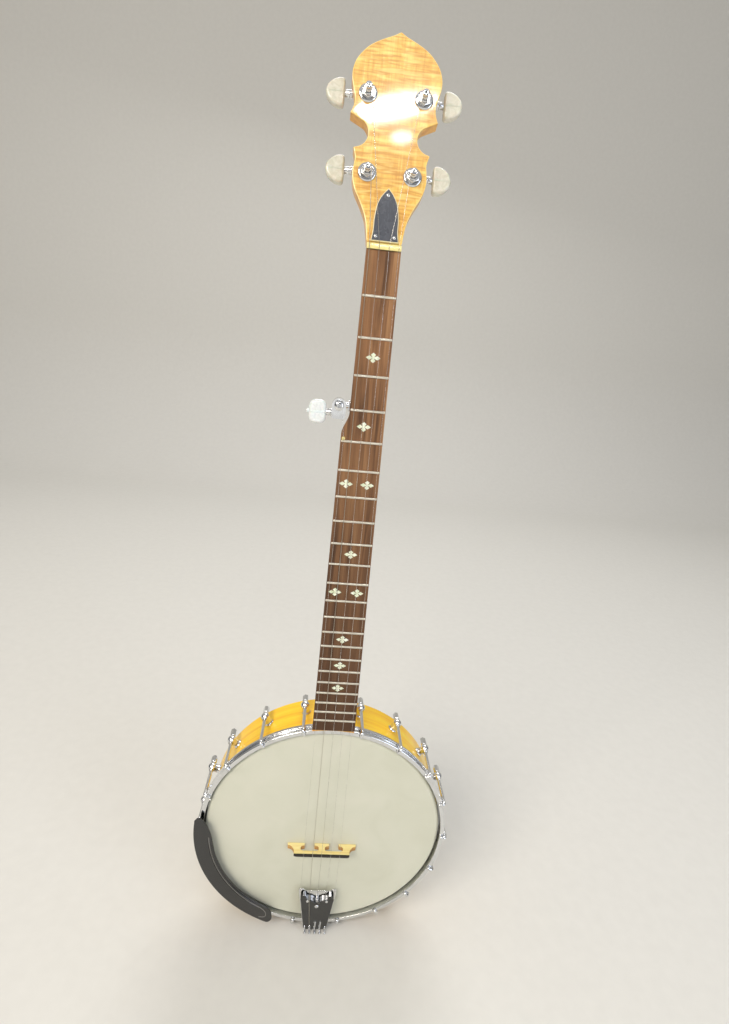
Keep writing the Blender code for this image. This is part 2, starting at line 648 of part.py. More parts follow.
def neck_sections():
    """Distances from the nut, depths and pinches of the neck's cross-sections, headstock end first."""
    heel_start = FINGERBOARD_LENGTH - HEEL_LENGTH
    boxy = [(-NUT_THICKNESS - NECK_IN_HEADSTOCK, 0.4), (-NUT_THICKNESS, 0.5), (fret_distance(1) / 3, 0.75)]
    shaft = [fret_distance(1), *step_distances(), fret_distance(9), heel_start]
    sections = []
    for distance, pinch in boxy + [(distance, 1.0) for distance in shaft]:
        share = max(0.0, distance / heel_start)
        depth = NECK_DEPTH_AT_NUT + (NECK_DEPTH_AT_HEEL - NECK_DEPTH_AT_NUT) * share
        sections.append((distance, depth, pinch))
    reach = NUT_Z - (RIM_RADIUS - RIM_WALL / 2) - heel_start
    for along, rise in ((0.24, 0.04), (0.40, 0.14), (0.52, 0.32), (0.62, 0.56), (0.71, 0.80), (0.79, 0.95), (1.0, 1.0)):
        depth = NECK_DEPTH_AT_HEEL + (HEEL_DEPTH - NECK_DEPTH_AT_HEEL) * rise
        sections.append((heel_start + reach * along, depth, 1.0 + HEEL_PINCH * rise))
    return sections


def make_neck_blank():
    """A loft of flat-fronted, round-backed sections from the headstock to the heel."""
    front = NECK_FRONT - SEAT_GAP
    bm = bmesh.new()
    rings = []
    for distance, depth, pinch in neck_sections():
        left = left_edge(distance)
        right = half_width(distance)
        middle = (left + right) / 2
        half = (right - left) / 2
        ring = []
        for step in range(NECK_ARC_POINTS + 1):
            angle = math.pi * step / NECK_ARC_POINTS
            across = math.copysign(abs(math.cos(angle)) ** pinch, math.cos(angle))
            ring.append(bm.verts.new((middle + half * across, front + (depth + SEAT_GAP) * math.sin(angle),
                                      NUT_Z - distance)))
        rings.append(ring)
    for above, below in zip(rings, rings[1:]):
        for step in range(NECK_ARC_POINTS + 1):
            after = (step + 1) % (NECK_ARC_POINTS + 1)
            bm.faces.new((above[step], above[after], below[after], below[step]))
    bm.faces.new(rings[0])
    bm.faces.new(rings[-1])
    return new_piece("neck", bm)


def headstock_outline():
    """The headstock's outline, with the round notch in each side, from the left of the nut round to the right."""
    half = [(width * MM, distance * MM) for width, distance in HEADSTOCK_HALF]
    for step in range(NOTCH_POINTS + 1):
        angle = NOTCH_START + (NOTCH_END - NOTCH_START) * step / NOTCH_POINTS
        half.append((NOTCH_CENTRE[0] + NOTCH_RADIUS * math.cos(angle), NOTCH_CENTRE[1] + NOTCH_RADIUS * math.sin(angle)))
    half += [(width * MM, distance * MM) for width, distance in HEADSTOCK_CROWN]
    left = [(-width, distance) for width, distance in half]
    return left + [(0.0, HEADSTOCK_TIP)] + list(reversed(half))


def tuner_places():
    """Name, side and the post's place in the headstock's frame, for each headstock tuner."""
    for row, (x, z) in POST_PLACES.items():
        for word, side in (("left", -1), ("right", 1)):
            yield f"{row}_{word}", side, (side * x, z)


def headstock_holes():
    """Cutters shared by the headstock and its overlay: the tuners' holes and the truss rod's pocket."""
    front = OVERLAY_FACE - 5 * MM
    back = HEADSTOCK_THICKNESS + 5 * MM
    radius = hole_radius(sleeve_radius(), SEAT_GAP)
    tools = []
    for name, side, (x, z) in tuner_places():
        tools.append(rod(f"tuner_hole_{name}", (x, front, z), (x, back, z), radius, ROUND_SIDES, HEADSTOCK))
    half = TRUSS_NUT_RADIUS + SEAT_GAP
    depth = NECK_FRONT + TRUSS_CHANNEL_DEPTH + TRUSS_NUT_RADIUS - TRUSS_ROD_RADIUS
    tools.append(box("truss_pocket", (NECK_X_AT_NUT - half, NECK_FRONT - 20 * MM, NUT_Z + NUT_THICKNESS + 1 * MM),
                     (NECK_X_AT_NUT + half, depth, NUT_Z + NUT_THICKNESS + POCKET_LENGTH)))
    return tools


def make_neck(holes):
    neck = make_neck_blank()
    head = plate("headstock", headstock_outline(), -SEAT_GAP, HEADSTOCK_THICKNESS, HEADSTOCK)
    neck = join(neck, [head])
    far = 40 * MM
    face = box("neck_face", (-far, NECK_FRONT - far, 0.0), (far, NECK_FRONT, NUT_Z + NUT_THICKNESS + SEAT_GAP))
    slope = box("headstock_face", (-2 * far, -far, 0.0), (2 * far, 0.0, HEADSTOCK_TIP + far), HEADSTOCK)
    pot = pot_ring("pot_bore", [(0.0, -far), (RIM_RADIUS + SEAT_GAP, -far), (RIM_RADIUS + SEAT_GAP, RIM_BACK + far),
                                (0.0, RIM_BACK + far)], closed=False)
    hoop_back = FLESH_FRONT + FLESH_HEIGHT + SEAT_GAP
    hoop = pot_ring("hoop_bore", [(0.0, -far), (HOOP_OUTER + SEAT_GAP, -far), (HOOP_OUTER + SEAT_GAP, hoop_back),
                                  (0.0, hoop_back)], closed=False)
    channel_half = TRUSS_ROD_RADIUS + SEAT_GAP
    channel = box("truss_channel",
                  (NECK_X_AT_NUT - channel_half, NECK_FRONT - far, FINGERBOARD_END + TRUSS_ROD_END_PLAY - SEAT_GAP),
                  (NECK_X_AT_NUT + channel_half, NECK_FRONT + TRUSS_CHANNEL_DEPTH, NUT_Z + NUT_THICKNESS + 2 * MM))
    lag = rod("heel_hole", (0, ROD_DEPTH, RIM_RADIUS - RIM_WALL),
              (0, ROD_DEPTH, RIM_RADIUS + ROD_IN_HEEL + SEAT_GAP), hole_radius(ROD_RADIUS, SEAT_GAP), ROUND_SIDES)
    x, y, z = fifth_tuner_place()
    stub_depth = y + GEAR_DEPTH
    edge = left_edge(NUT_Z - z)
    stub = rod("fifth_tuner_hole", (x, stub_depth, z), (edge + FIFTH_STUB_LENGTH + SEAT_GAP, stub_depth, z),
               FIFTH_STUB_RADIUS + SEAT_GAP, 8)
    return finish(cut(neck, [face, slope, pot, hoop, channel, lag, stub, *holes]), MAPLE)


def make_overlay(holes):
    outline = [(x, z) for x, z in headstock_outline() if z > SEAT_GAP]
    overlay = plate("headstock_overlay", outline, OVERLAY_FACE, -SEAT_GAP, HEADSTOCK)
    return finish(cut(overlay, holes), FLAMED)


def make_nut():
    low = NECK_X_AT_NUT - half_width(0.0) + NECK_X_AT_NUT
    nut = box("string_nut", (low, NUT_TOP, NUT_Z + SEAT_GAP),
              (half_width(0.0), NECK_FRONT - SEAT_GAP, NUT_Z + NUT_THICKNESS))
    bm = bmesh.new()
    bm.from_mesh(nut.data)
    top_back = [edge for edge in bm.edges if all(vert.co.y < NUT_TOP + SEAT_GAP for vert in edge.verts)
                and all(vert.co.z > NUT_Z + NUT_THICKNESS - SEAT_GAP for vert in edge.verts)]
    bmesh.ops.bevel(bm, geom=top_back, offset=NUT_RISE, segments=3, profile=0.5, affect="EDGES")
    bm.to_mesh(nut.data)
    bm.free()
    return finish(nut, BONE)


def pip_place():
    distance = fret_distance(5) - PIP_BEHIND_FRET
    return left_edge(distance) + PIP_FROM_EDGE, NUT_Z - distance


def make_pip():
    x, z = pip_place()
    back = -FINGERBOARD_RISE - SEAT_GAP
    pip = rod("fifth_string_pip", (x, back, z), (x, back - PIP_HEIGHT, z), PIP_RADIUS, 10,
              end_radius=PIP_RADIUS * 0.8)
    return finish(pip, BONE)


def make_truss_cover():
    half = [(width * MM, distance * MM) for width, distance in COVER_HALF]
    outline = [(-width, distance) for width, distance in half] + list(reversed(half[:-1]))
    back = OVERLAY_FACE - SEAT_GAP
    front = back - COVER_THICKNESS
    cover = plate("truss_rod_cover", outline, front, back, HEADSTOCK)
    screws = []
    for number, (x, z) in enumerate(COVER_SCREWS, 1):
        screws.append(rod(f"cover_screw_{number}", (x * MM, front + COVER_THICKNESS / 2, z * MM),
                          (x * MM, front - COVER_SCREW_RISE, z * MM), COVER_SCREW_RADIUS, 8, HEADSTOCK))
    return finish(join(cover, screws), BLACK)


def make_truss_rod():
    depth = NECK_FRONT + TRUSS_CHANNEL_DEPTH - SEAT_GAP - TRUSS_ROD_RADIUS
    start = FINGERBOARD_END + TRUSS_ROD_END_PLAY
    nut_z = NUT_Z + NUT_THICKNESS + TRUSS_NUT_START
    truss = rod("truss_rod", (NECK_X_AT_NUT, depth, start), (NECK_X_AT_NUT, depth, nut_z + TRUSS_NUT_LENGTH / 2),
                TRUSS_ROD_RADIUS, 8)
    hexagon = rod("truss_nut", (NECK_X_AT_NUT, depth, nut_z), (NECK_X_AT_NUT, depth, nut_z + TRUSS_NUT_LENGTH),
                  TRUSS_NUT_RADIUS, 6)
    return finish(join(truss, [hexagon]), STEEL)


# Tuners

def gear_outline():
    """Teeth with straight flanks; a tooth points along +z."""
    half_turn = math.pi / GEAR_TEETH
    tip = GEAR_PITCH_RADIUS + GEAR_TIP_RISE
    root = GEAR_PITCH_RADIUS - GEAR_ROOT_DROP
    tip_half = (TOOTH_HALF_WIDTH - GEAR_TIP_RISE * TOOTH_SLOPE) / tip
    root_half = (TOOTH_HALF_WIDTH + GEAR_ROOT_DROP * TOOTH_SLOPE) / root
    points = []
    for tooth in range(GEAR_TEETH):
        middle = tooth * 2 * half_turn
        for radius, angle in ((root, -root_half), (tip, -tip_half), (tip, tip_half), (root, root_half)):
            points.append(polar(radius, middle + angle))
    return points


def make_post(name, parent, place, top, waist):
    """A post with its gear, turning about the frame's Y through its own origin."""
    gear_back = GEAR_DEPTH + GEAR_WIDTH / 2 + 1.0 * MM
    waist_low, waist_high = waist
    slope = POST_RADIUS - POST_WAIST_RADIUS
    profile = [(0.0, top), (POST_RADIUS - slope, top), (POST_RADIUS, top - slope), (POST_RADIUS, waist_high + slope),
               (POST_WAIST_RADIUS, waist_high), (POST_WAIST_RADIUS, waist_low), (POST_RADIUS, waist_low - slope),
               (POST_RADIUS, -gear_back), (0.0, -gear_back)]
    post = turned(name, profile, ROUND_SIDES, parent, turn=(math.pi / 2, 0.0, 0.0))
    gear = plate(name + "_gear", gear_outline(), GEAR_DEPTH - GEAR_WIDTH / 2, GEAR_DEPTH + GEAR_WIDTH / 2, parent)
    post = join(post, [gear])
    post.location = place
    return post


def half_moon(side):
    """A button's outline, flat towards the post, with rounded corners, about the shaft's axis at z = 0."""
    flat = BUTTON_CENTRE - BUTTON_WIDTH / 2
    corner = 2.6 * MM
    tall = BUTTON_HEIGHT / 2
    points = [(flat, tall - corner), (flat + corner * 0.4, tall - corner * 0.3), (flat + corner * 1.2, tall)]
    points += [(flat + BUTTON_WIDTH * across, tall * up) for across, up in ((0.45, 0.93), (0.72, 0.72), (0.92, 0.40))]
    points.append((flat + BUTTON_WIDTH, 0.0))
    lower = [(x, -z) for x, z in reversed(points[:-1])]
    return [(side * x, z) for x, z in points + lower]


def rounded_oblong(side):
    """The outline of the fifth tuner's button."""
    flat = FIFTH_BUTTON_CENTRE - FIFTH_BUTTON_WIDTH / 2
    tall = FIFTH_BUTTON_HEIGHT / 2
    shares = ((0.0, 0.45), (0.05, 0.75), (0.22, 0.97), (0.5, 1.0), (0.78, 0.92), (0.94, 0.68), (1.0, 0.3))
    points = [(flat + FIFTH_BUTTON_WIDTH * across, tall * up) for across, up in shares]
    lower = [(x, -z) for x, z in reversed(points)]
    return [(side * x, z) for x, z in points + lower]


def make_button(name, parent, place, side, worm_side, outline, tube_end, extra=()):
    """A button with its shaft and worm, along the frame's X through its own origin.

    worm_side is 1 where the worm lies above the gear and -1 where it lies below.
    """
    shaft_end = side * (tube_end + SEAT_GAP + COLLAR_LENGTH + BUTTON_WIDTH / 3)
    half_thread = THREAD_PITCH * THREAD_TURNS / 2
    worm = rod(name, (-half_thread - 0.6 * MM, 0, 0), (half_thread + 0.6 * MM, 0, 0), WORM_CORE_RADIUS, 12, parent)
    bm = bmesh.new()
    root_half = TOOTH_HALF_WIDTH + (WORM_PITCH_RADIUS - THREAD_ROOT_RADIUS) * TOOTH_SLOPE
    tip_half = TOOTH_HALF_WIDTH - (THREAD_TIP_RADIUS - WORM_PITCH_RADIUS) * TOOTH_SLOPE
    section = [(-root_half, THREAD_ROOT_RADIUS), (-tip_half, THREAD_TIP_RADIUS), (tip_half, THREAD_TIP_RADIUS),
               (root_half, THREAD_ROOT_RADIUS)]
    # the crest faces the gear half a pitch to either side of the gear's middle
    start = -half_thread + THREAD_PITCH / 2
    face = bm.faces.new([bm.verts.new((start + x, 0.0, -worm_side * radius)) for x, radius in section])
    turns = THREAD_TURNS - 1
    bmesh.ops.spin(bm, geom=[face], cent=(0, 0, 0), axis=(1, 0, 0), dvec=(THREAD_PITCH / THREAD_STEPS, 0, 0),
                   angle=2 * math.pi * turns, steps=THREAD_STEPS * turns, use_merge=False, use_duplicate=False)
    thread = new_piece(name + "_thread", bm, parent)
    shaft = rod(name + "_shaft", (-side * (housing_half() + HOUSING_WALL), 0, 0), (shaft_end, 0, 0), SHAFT_RADIUS, 8,
                parent)
    collar_start = side * (tube_end + SEAT_GAP)
    collar_end = collar_start + side * (COLLAR_LENGTH + SEAT_GAP)
    collar = rod(name + "_collar", (collar_start, 0, 0), (collar_end, 0, 0), COLLAR_RADIUS, 8, parent,
                 end_radius=COLLAR_RADIUS * 0.75)
    pad = plate(name + "_pad", outline, -BUTTON_THICKNESS / 2, BUTTON_THICKNESS / 2, parent)
    bevel = pad.modifiers.new("edge", "BEVEL")
    bevel.width = BUTTON_THICKNESS * 0.3
    bevel.segments = 1
    bevel.limit_method = "ANGLE"
    bevel.angle_limit = math.radians(60.0)
    pad = settle(pad)
    button = join(worm, [thread, shaft, collar, pad, *extra])
    button.location = place
    return button


def housing_outline(worm_side, grow=0.0):
    """A round boss about the gear that widens to take the worm, in x and z."""
    gear_room = gear_room_radius() + grow
    top = worm_side * (WORM_OFFSET + THREAD_TIP_RADIUS + SEAT_GAP + grow)
    half = housing_half() + grow
    corner = HOUSING_CORNER + grow
    points = []
    for step in range(HOUSING_ARC_STEPS + 1):
        angle = math.pi * step / HOUSING_ARC_STEPS
        points.append((half * math.cos(angle), -worm_side * gear_room * math.sin(angle)))
    points += [(-half, top - worm_side * corner), (-half + corner, top), (half - corner, top),
               (half, top - worm_side * corner)]
    return points


def gear_room_radius():
    """Radius of the room's corners round the gear, so that its flat sides clear the teeth."""
    return hole_radius(GEAR_PITCH_RADIUS + GEAR_TIP_RISE, SEAT_GAP, 2 * HOUSING_ARC_STEPS)


def housing_half():
    """Half the room's width along the worm."""
    return max(THREAD_PITCH * THREAD_TURNS / 2 + 3 * SEAT_GAP, gear_room_radius())


def make_housing(name, parent, side, worm_side, tube_end, lid=0.0):
    """A box round the worm and the gear: open in front, or closed there by a lid with the post's hole."""
    half = housing_half()
    wall = HOUSING_WALL
    clear = 3 * MM
    shell = plate(name, housing_outline(worm_side, wall), SEAT_GAP - lid, HOUSING_DEPTH, parent)
    worm_z = worm_side * WORM_OFFSET
    stem = rod(name + "_stem", (side * (half + wall / 2), GEAR_DEPTH, worm_z), (side * tube_end, GEAR_DEPTH, worm_z),
               TUBE_RADIUS, ROUND_SIDES, parent)
    shell = join(shell, [stem])
    room_front = SEAT_GAP if lid else SEAT_GAP - clear
    tools = [plate(name + "_room", housing_outline(worm_side), room_front, HOUSING_DEPTH - wall, parent)]
    bore_radius = hole_radius(SHAFT_RADIUS, RUN_GAP)
    tools.append(rod(name + "_bore", (side * half / 2, GEAR_DEPTH, worm_z),
                     (side * (tube_end + clear), GEAR_DEPTH, worm_z), bore_radius, ROUND_SIDES, parent))
    tools.append(rod(name + "_far_bore", (-side * half / 2, GEAR_DEPTH, worm_z),
                     (-side * (half + wall + clear), GEAR_DEPTH, worm_z), bore_radius, ROUND_SIDES, parent))
    if lid:
        tools.append(rod(name + "_post_bore", (0, -lid - clear, 0), (0, GEAR_DEPTH, 0),
                         hole_radius(POST_RADIUS, RUN_GAP), ROUND_SIDES, parent))
    for tool in tools:
        boolean(shell, tool, "DIFFERENCE")
    shell = settle(shell)
    for tool in tools:
        bpy.data.objects.remove(tool)
    return shell


def sleeve_radius():
    return hole_radius(POST_RADIUS, RUN_GAP) + SLEEVE_WALL


def make_bushing(name, place):
    """A threaded sleeve through the headstock with its washer and hexagon on the front."""
    face = OVERLAY_FACE - SEAT_GAP
    bushing = rod(name, (0, face - WASHER_THICKNESS - HEX_HEIGHT, 0), (0, HEADSTOCK_THICKNESS - 1 * MM, 0),
                  sleeve_radius(), ROUND_SIDES, HEADSTOCK)
    washer = rod(name + "_washer", (0, face, 0), (0, face - WASHER_THICKNESS, 0), WASHER_RADIUS, 20, HEADSTOCK)
    hexagon = rod(name + "_hex", (0, face - WASHER_THICKNESS / 2, 0), (0, face - WASHER_THICKNESS - HEX_HEIGHT * 0.8, 0),
                  HEX_RADIUS, 6, HEADSTOCK)
    bushing = join(bushing, [washer, hexagon])
    bore = rod(name + "_bore", (0, face - 20 * MM, 0), (0, HEADSTOCK_THICKNESS + 20 * MM, 0),
               hole_radius(POST_RADIUS, RUN_GAP), ROUND_SIDES, HEADSTOCK)
    boolean(bushing, bore, "DIFFERENCE")
    bushing = settle(bushing)
    bpy.data.objects.remove(bore)
    bushing.location = (place[0], 0.0, place[1])
    return finish(bushing, CHROME, True)


def string_band():
    """The two heights on a headstock post between which its string winds, in front of the mounting face."""
    top = HEADSTOCK_THICKNESS - OVERLAY_FACE + POST_RISE
    return top - 4.6 * MM, top - 1.8 * MM


def make_headstock_tuners():
    top = HEADSTOCK_THICKNESS - OVERLAY_FACE + POST_RISE
    for name, side, (x, z) in tuner_places():
        mount = empty(f"tuner_frame_{name}", (x, HEADSTOCK_THICKNESS, z), HEADSTOCK)
        housing = make_housing(f"tuner_housing_{name}", mount, side, 1, TUBE_END)
        finish(housing, CHROME)
        make_bushing(f"tuner_bushing_{name}", (x, z))
        post = make_post(f"tuner_post_{name}", mount, (0, 0, 0), top, string_band())
        finish(post, CHROME, True)
        button = make_button(f"tuner_button_{name}", mount, (0, GEAR_DEPTH, WORM_OFFSET), side, 1, half_moon(side),
                             TUBE_END)
        finish(button, PEARLOID)


def fifth_tuner_place():
    """The fifth post's axis and the housing's front face, in the pot's frame."""
    distance = fret_distance(4) - FIFTH_POST_BEHIND_FRET
    return left_edge(distance) - FIFTH_POST_FROM_EDGE, FIFTH_FACE, NUT_Z - distance


def make_fifth_tuner():
    x, y, z = fifth_tuner_place()
    mount = empty("fifth_tuner_frame", (x, y, z), POT)
    housing = make_housing("fifth_tuner_housing", mount, -1, -1, FIFTH_TUBE_END, FIFTH_LID)
    half = housing_half()
    edge = left_edge(NUT_Z - z)
    stub_end = edge + FIFTH_STUB_LENGTH - x
    stub = rod("fifth_stub", (half + HOUSING_WALL / 2, GEAR_DEPTH, 0), (stub_end, GEAR_DEPTH, 0), FIFTH_STUB_RADIUS, 8,
               mount)
    flange_half = 5.2 * MM
    flange = box("fifth_flange", (edge - x - SEAT_GAP - 1.4 * MM, SEAT_GAP, -flange_half),
                 (edge - x - SEAT_GAP, HOUSING_DEPTH, flange_half), mount)
    finish(join(housing, [stub, flange]), CHROME)
    band = (2.4 * MM, 5.4 * MM)
    post = make_post("fifth_tuner_post", mount, (0, 0, 0), FIFTH_POST_RISE - FIFTH_CAP_HEIGHT / 2, band)
    cap = turned("fifth_cap", [(0.0, FIFTH_POST_RISE), (FIFTH_CAP_RADIUS * 0.6, FIFTH_POST_RISE),
                               (FIFTH_CAP_RADIUS, FIFTH_POST_RISE - FIFTH_CAP_HEIGHT * 0.6),
                               (FIFTH_CAP_RADIUS, FIFTH_POST_RISE - FIFTH_CAP_HEIGHT),
                               (0.0, FIFTH_POST_RISE - FIFTH_CAP_HEIGHT)], 12, mount, turn=(math.pi / 2, 0.0, 0.0))
    finish(join(post, [cap]), CHROME, True)
    outer = -(FIFTH_BUTTON_CENTRE + FIFTH_BUTTON_WIDTH / 2)
    nub = rod("fifth_nub", (outer + FIFTH_NUB_RISE, 0, 0), (outer - FIFTH_NUB_RISE, 0, 0), FIFTH_NUB_RADIUS, 8, mount)
    button = make_button("fifth_tuner_button", mount, (0, GEAR_DEPTH, -WORM_OFFSET), -1, -1, rounded_oblong(-1),
                         FIFTH_TUBE_END, [nub])
    finish(button, PEARLOID)


# Coordinator rod, tailpiece, armrest, bridge and strings

def make_coordinator_rod():
    top = RIM_RADIUS + ROD_IN_HEEL
    inner = inside_rim(ROD_NUT_RADIUS)
    strap_back = RIM_RADIUS + SEAT_GAP + STRAP_THICKNESS + SEAT_GAP
    nut_end = strap_back + ROD_NUT_HEIGHT
    bar = rod("coordinator_rod", (0, ROD_DEPTH, top), (0, ROD_DEPTH, -nut_end - 2 * MM), ROD_RADIUS, 12)
    nuts = []
    for name, high, low in (("heel_nut", inner, inner - ROD_NUT_HEIGHT), ("tail_nut", -inner + ROD_NUT_HEIGHT, -inner),
                            ("end_nut", -strap_back, -nut_end)):
        nuts.append(rod(name, (0, ROD_DEPTH, high), (0, ROD_DEPTH, low), ROD_NUT_RADIUS, 6))
    return finish(join(bar, nuts), STEEL, True)


def tail_half(distance):
    """Half the tailpiece's width at a distance from its lower end."""
    share = distance / TAIL_LENGTH
    return TAIL_HALF_NARROW + (TAIL_HALF_WIDE - TAIL_HALF_NARROW) * share


def tail_pins():
    """x of the pin of each string, the fifth string's first."""
    return {str(5 - step): (step - 2) * TAIL_PIN_SPACING for step in range(5)}


def make_tailpiece():
    front = -BASE_RISE
    back = front + BASE_THICKNESS
    length = TAIL_LENGTH
    ears = [(tail_half(length), length - 5.6 * MM), (tail_half(length), length - 0.6 * MM),
            (tail_half(length) - 4.2 * MM, length), (tail_half(length) - 8.4 * MM, length - 3.4 * MM)]
    right = [(tail_half(0.0), 0.0), *ears]
    outline = [(x, BASE_END + z) for x, z in right] + [(-x, BASE_END + z) for x, z in reversed(right)]
    base = plate("tailpiece_base", outline, front, back)
    rim_side = -(RIM_RADIUS + SEAT_GAP)
    hoop_side = -(HOOP_OUTER + SEAT_GAP)
    elbow = FLESH_FRONT + FLESH_HEIGHT
    thick = STRAP_THICKNESS
    strap_points = [(ROD_DEPTH + STRAP_END_PLAY, rim_side), (elbow + 4.0 * MM, rim_side), (elbow + 0.4 * MM, hoop_side),
                    (back - BASE_THICKNESS / 2, hoop_side), (back - BASE_THICKNESS / 2, hoop_side - thick),
                    (elbow + 1.0 * MM, hoop_side - thick), (elbow + 5.0 * MM, rim_side - thick),
                    (ROD_DEPTH + STRAP_END_PLAY, rim_side - thick)]
    strap = side_plate("strap", strap_points, -STRAP_WIDTH / 2, STRAP_WIDTH / 2)
    pins = []
    for number, x in tail_pins().items():
        z = BASE_END + TAIL_PIN_INSET
        pins.append(rod(f"tail_pin_{number}", (x, back - BASE_THICKNESS / 2, z), (x, front - TAIL_PIN_HEIGHT, z),
                        TAIL_PIN_RADIUS, 8))
    base = join(base, [strap, *pins])
    hole = rod("strap_hole", (0, ROD_DEPTH, rim_side + 8 * MM), (0, ROD_DEPTH, rim_side - thick - 8 * MM),
               hole_radius(ROD_RADIUS, SEAT_GAP), ROUND_SIDES)
    finish(cut(base, [hole]), CHROME)

    face = front - TAIL_COVER_RISE
    start = BASE_END + TAIL_COVER_START
    end = TAIL_COVER_START + TAIL_COVER_LENGTH
    lip = [(tail_half(end) + 0.6 * MM, 0.0), (tail_half(end) - 3.2 * MM, 5.0 * MM), (11.6 * MM, -1.2 * MM),
           (7.0 * MM, -0.6 * MM)]
    right = [(tail_half(TAIL_COVER_START) + 0.6 * MM, start)] + [(x, BASE_END + end + z) for x, z in lip]
    valley = [(0.0, BASE_END + end - 6.6 * MM)]
    outline = right + valley + [(-x, z) for x, z in reversed(right)]
    cover = plate("tailpiece_cover", outline, face, front - SEAT_GAP)
    wall = TAIL_COVER_SKIN
    inside = [(tail_half(0.0) + 0.6 * MM - wall, BASE_END), (tail_half(TAIL_LENGTH) + 0.6 * MM - wall, BASE_END + TAIL_LENGTH)]
    room_outline = inside + [(-x, z) for x, z in reversed(inside)]
    room = plate("tailpiece_room", room_outline, face + wall, front + wall)
    screw_z = BASE_END + TAIL_SCREW_PLACE
    screw = rod("tail_screw", (0, face + wall / 2, screw_z), (0, face - TAIL_SCREW_RISE, screw_z), TAIL_SCREW_RADIUS, 10)
    cover = join(cover, [screw])
    finish(cut(cover, [room]), BLACK)


def make_armrest():
    """A crescent over the hoop's lower left, with two clamps that grip the hoop."""
    inner = HOOP_OUTER - REST_INNER
    outer = HOOP_OUTER + REST_OUTER
    points = []
    for step in range(REST_POINTS + 1):
        angle = -(REST_START + (REST_END - REST_START) * step / REST_POINTS)
        points.append(polar(outer, angle))
    near = math.radians(4.2)
    points.append(polar(outer - 9 * MM, -(REST_END + math.radians(1.2))))
    points.append(polar(inner + 6 * MM, -(REST_END - math.radians(1.6))))
    for step in range(REST_POINTS + 1):
        angle = -(REST_END - near - (REST_END - REST_START - near - math.radians(12.0)) * step / REST_POINTS)
        points.append(polar(inner, angle))
    points.append(polar(inner + 1.2 * MM, -(REST_START + math.radians(6.5))))
    points.append(polar(inner + 6.0 * MM, -(REST_START + math.radians(1.6))))
    points.append(polar(outer - 8.6 * MM, -(REST_START - math.radians(1.4))))
    rest = plate("armrest", points, -REST_RISE - REST_THICKNESS, -REST_RISE)
    tools = []
    half = REST_CLAMP_WIDTH / 2
    wall_inner = HOOP_OUTER + SEAT_GAP
    wall_outer = wall_inner + REST_CLAMP_WALL
    lip_front = HOOP_HEIGHT + SEAT_GAP
    lip_back = lip_front + REST_CLAMP_WALL
    top = -REST_RISE - REST_THICKNESS / 2
    profile = [(top, wall_outer), (lip_back, wall_outer), (lip_back, HOOP_OUTER - REST_CLAMP_LIP),
               (lip_front, HOOP_OUTER - REST_CLAMP_LIP), (lip_front, wall_inner), (-SEAT_GAP, wall_inner),
               (-SEAT_GAP, HOOP_OUTER - REST_CLAMP_PAD), (top, HOOP_OUTER - REST_CLAMP_PAD)]
    for number, angle in enumerate(REST_CLAMP_ANGLES, 1):
        clamp = side_plate(f"clamp_{number}", profile, -half, half)
        clamp.rotation_euler = (0.0, -angle, 0.0)
        tools.append(clamp)
    return finish(join(rest, tools), BLACK)


def make_bridge():
    """Three feet joined by a bar; the ebony cap is a piece of its own."""
    foot = HEAD_SINK - SEAT_GAP
    cap_back = BRIDGE_TOP + BRIDGE_CAP_HEIGHT
    bar_front = cap_back + SEAT_GAP
    bar_back = bar_front + 4.0 * MM
    middle_foot = 9.0 * MM
    gap_inner = BRIDGE_FOOT_HALF - 21.0 * MM
    foot_front = foot - 3.2 * MM
    hook = 3.6 * MM
    right = [(middle_foot, foot), (middle_foot, foot_front), (middle_foot - hook, foot_front - 0.6 * MM),
             (middle_foot - hook, bar_back + 1.4 * MM), (middle_foot - hook / 2, bar_back),
             (gap_inner + hook / 2, bar_back), (gap_inner + hook, bar_back + 1.4 * MM),
             (gap_inner + hook, foot_front - 0.6 * MM), (gap_inner, foot_front), (gap_inner, foot),
             (BRIDGE_FOOT_HALF, foot), (BRIDGE_FOOT_HALF, foot_front), (BRIDGE_FOOT_HALF - 3.4 * MM, foot_front - 1.2 * MM),
             (BRIDGE_TOP_HALF + 1.0 * MM, bar_back + 1.0 * MM), (BRIDGE_TOP_HALF, bar_back - 1.0 * MM),
             (BRIDGE_TOP_HALF, bar_front)]
    outline = right + [(-x, depth) for x, depth in reversed(right)]
    centre_z = -BRIDGE_BELOW_CENTRE
    bridge = plate("bridge", outline, -BRIDGE_FOOT_THICKNESS / 2, BRIDGE_FOOT_THICKNESS / 2)
    cap_points = [(BRIDGE_TOP_HALF, cap_back), (BRIDGE_TOP_HALF, cap_back - BRIDGE_CAP_HEIGHT / 3),
                  (BRIDGE_CAP_HALF, BRIDGE_TOP), (-BRIDGE_CAP_HALF, BRIDGE_TOP),
                  (-BRIDGE_TOP_HALF, cap_back - BRIDGE_CAP_HEIGHT / 3), (-BRIDGE_TOP_HALF, cap_back)]
    cap = plate("bridge_cap", cap_points, -BRIDGE_FOOT_THICKNESS / 2, BRIDGE_FOOT_THICKNESS / 2)
    for piece in (bridge, cap):
        # the outline was drawn flat: stand it up, and thin it towards the strings
        for vert in piece.data.vertices:
            across, thick, depth = vert.co
            share = (foot - depth) / BRIDGE_HEIGHT
            thin = 1.0 + (BRIDGE_TOP_THICKNESS / BRIDGE_FOOT_THICKNESS - 1.0) * share
            vert.co = (across, depth, -thick * thin)
        piece.location = (0.0, 0.0, centre_z)
    finish(bridge, MAPLE)
    finish(cap, EBONY)


